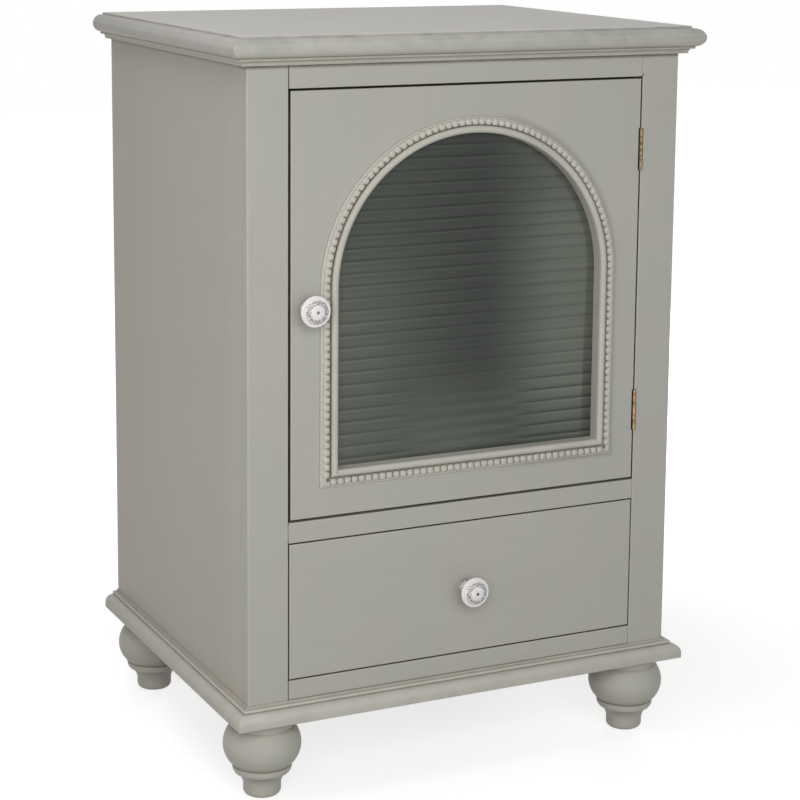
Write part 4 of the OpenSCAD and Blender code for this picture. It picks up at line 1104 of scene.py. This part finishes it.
def seenDirectly(tree):
    # 1 where the camera, a reflection or the glass looks, and 0 for light on the object
    rays = tree.nodes.new("ShaderNodeLightPath").outputs
    camera, glossy, through = [Wire(rays[f"Is {kind} Ray"])
                               for kind in ("Camera", "Glossy", "Transmission")]
    return calc("MAXIMUM", calc("MAXIMUM", camera, glossy), through)


def makeStage():
    # A flat pale floor under the feet, wide enough to fill the view. It grows white away from them.
    half = stage["floorSize"]
    mesh = bpy.data.meshes.new("studioFloor")
    mesh.from_pydata([(-half, -half, 0), (half, -half, 0), (half, half, 0), (-half, half, 0)], [],
                     [(0, 1, 2, 3)])
    material, tree, shader, _ = newMaterial("studio_floor", 0.0, 0.0004, {
        "Emission Strength": 1.0, "Roughness": 0.9, "Specular IOR Level": 0.0})
    seen = seenDirectly(tree)
    tones = [(*[stage[key]] * 3, 1) for key in ("floorTone", "shownTone")]
    connect(blendColour(seen, *tones), shader["Base Color"])
    glow = ramp(vectorCalc("LENGTH", objectPlace(tree)), stage["glowFrom"], stage["glowTo"],
                stage["glowNear"], stage["glowFar"])
    connect(grey(glow * seen), shader["Emission Color"])
    mesh.materials.append(material)
    addObject("studioFloor", mesh)


def aim(thing, right, up, back, place):
    # Its own x, y and z axes then lie along right, up and back
    thing.matrix_world = Matrix(np.array([(*right, 0), (*up, 0), (*back, 0), (*place, 1)]).T.tolist())


def makeLight():
    # An even pale sky, white where the camera, a reflection or the glass sees it, and soft lamps
    world = bpy.data.worlds.new("studioSky")
    bpy.context.scene.world = world
    world.use_nodes = True
    sky = next(n for n in world.node_tree.nodes if n.type == "BACKGROUND").inputs
    seen = seenDirectly(world.node_tree)
    connect(blendColour(seen, (*stage["skyTone"], 1), (1, 1, 1, 1)), sky["Color"])
    sky["Strength"].default_value = 1.0
    for name, (place, target, width, power, colour) in lamps.items():
        lamp = bpy.data.lights.new(name, "AREA")
        lamp.size, lamp.energy, lamp.color = width, power, colour
        back = np.subtract(place, target)
        back /= np.linalg.norm(back)
        side = np.cross((0.01, 0.02, 1), back)
        side /= np.linalg.norm(side)
        lampObject = addObject(name, lamp)
        aim(lampObject, side, np.cross(back, side), back, place)
        lampObject.visible_glossy = False


camera = {"azimuth": -25.942, "elevation": 9.25, "roll": 0.507, "lens": 97.223,
          "shiftY": -0.20375, "place": (-0.95285, -1.98234, 0.86645)}


def makeCamera():
    # Looks along a given azimuth and elevation from a fixed place, with a slight roll
    s = camera
    a, e, roll = [math.radians(s[key]) for key in ("azimuth", "elevation", "roll")]
    back = np.array([math.sin(a) * math.cos(e), -math.cos(a) * math.cos(e), math.sin(e)])
    right = np.cross((0, 0, 1), back)
    right /= np.linalg.norm(right)
    up = np.cross(back, right)
    right, up = (math.cos(roll) * right + math.sin(roll) * up,
                 math.cos(roll) * up - math.sin(roll) * right)
    data = bpy.data.cameras.new("studioCamera")
    data.lens, data.sensor_width, data.shift_y = s["lens"], 36, s["shiftY"]
    cameraObject = addObject("studioCamera", data)
    aim(cameraObject, right, up, back, s["place"])
    bpy.context.scene.camera = cameraObject


makeStage()
makeLight()
makeCamera()
bpy.context.scene.view_settings.view_transform = "Standard"
print("floor, light and camera set")
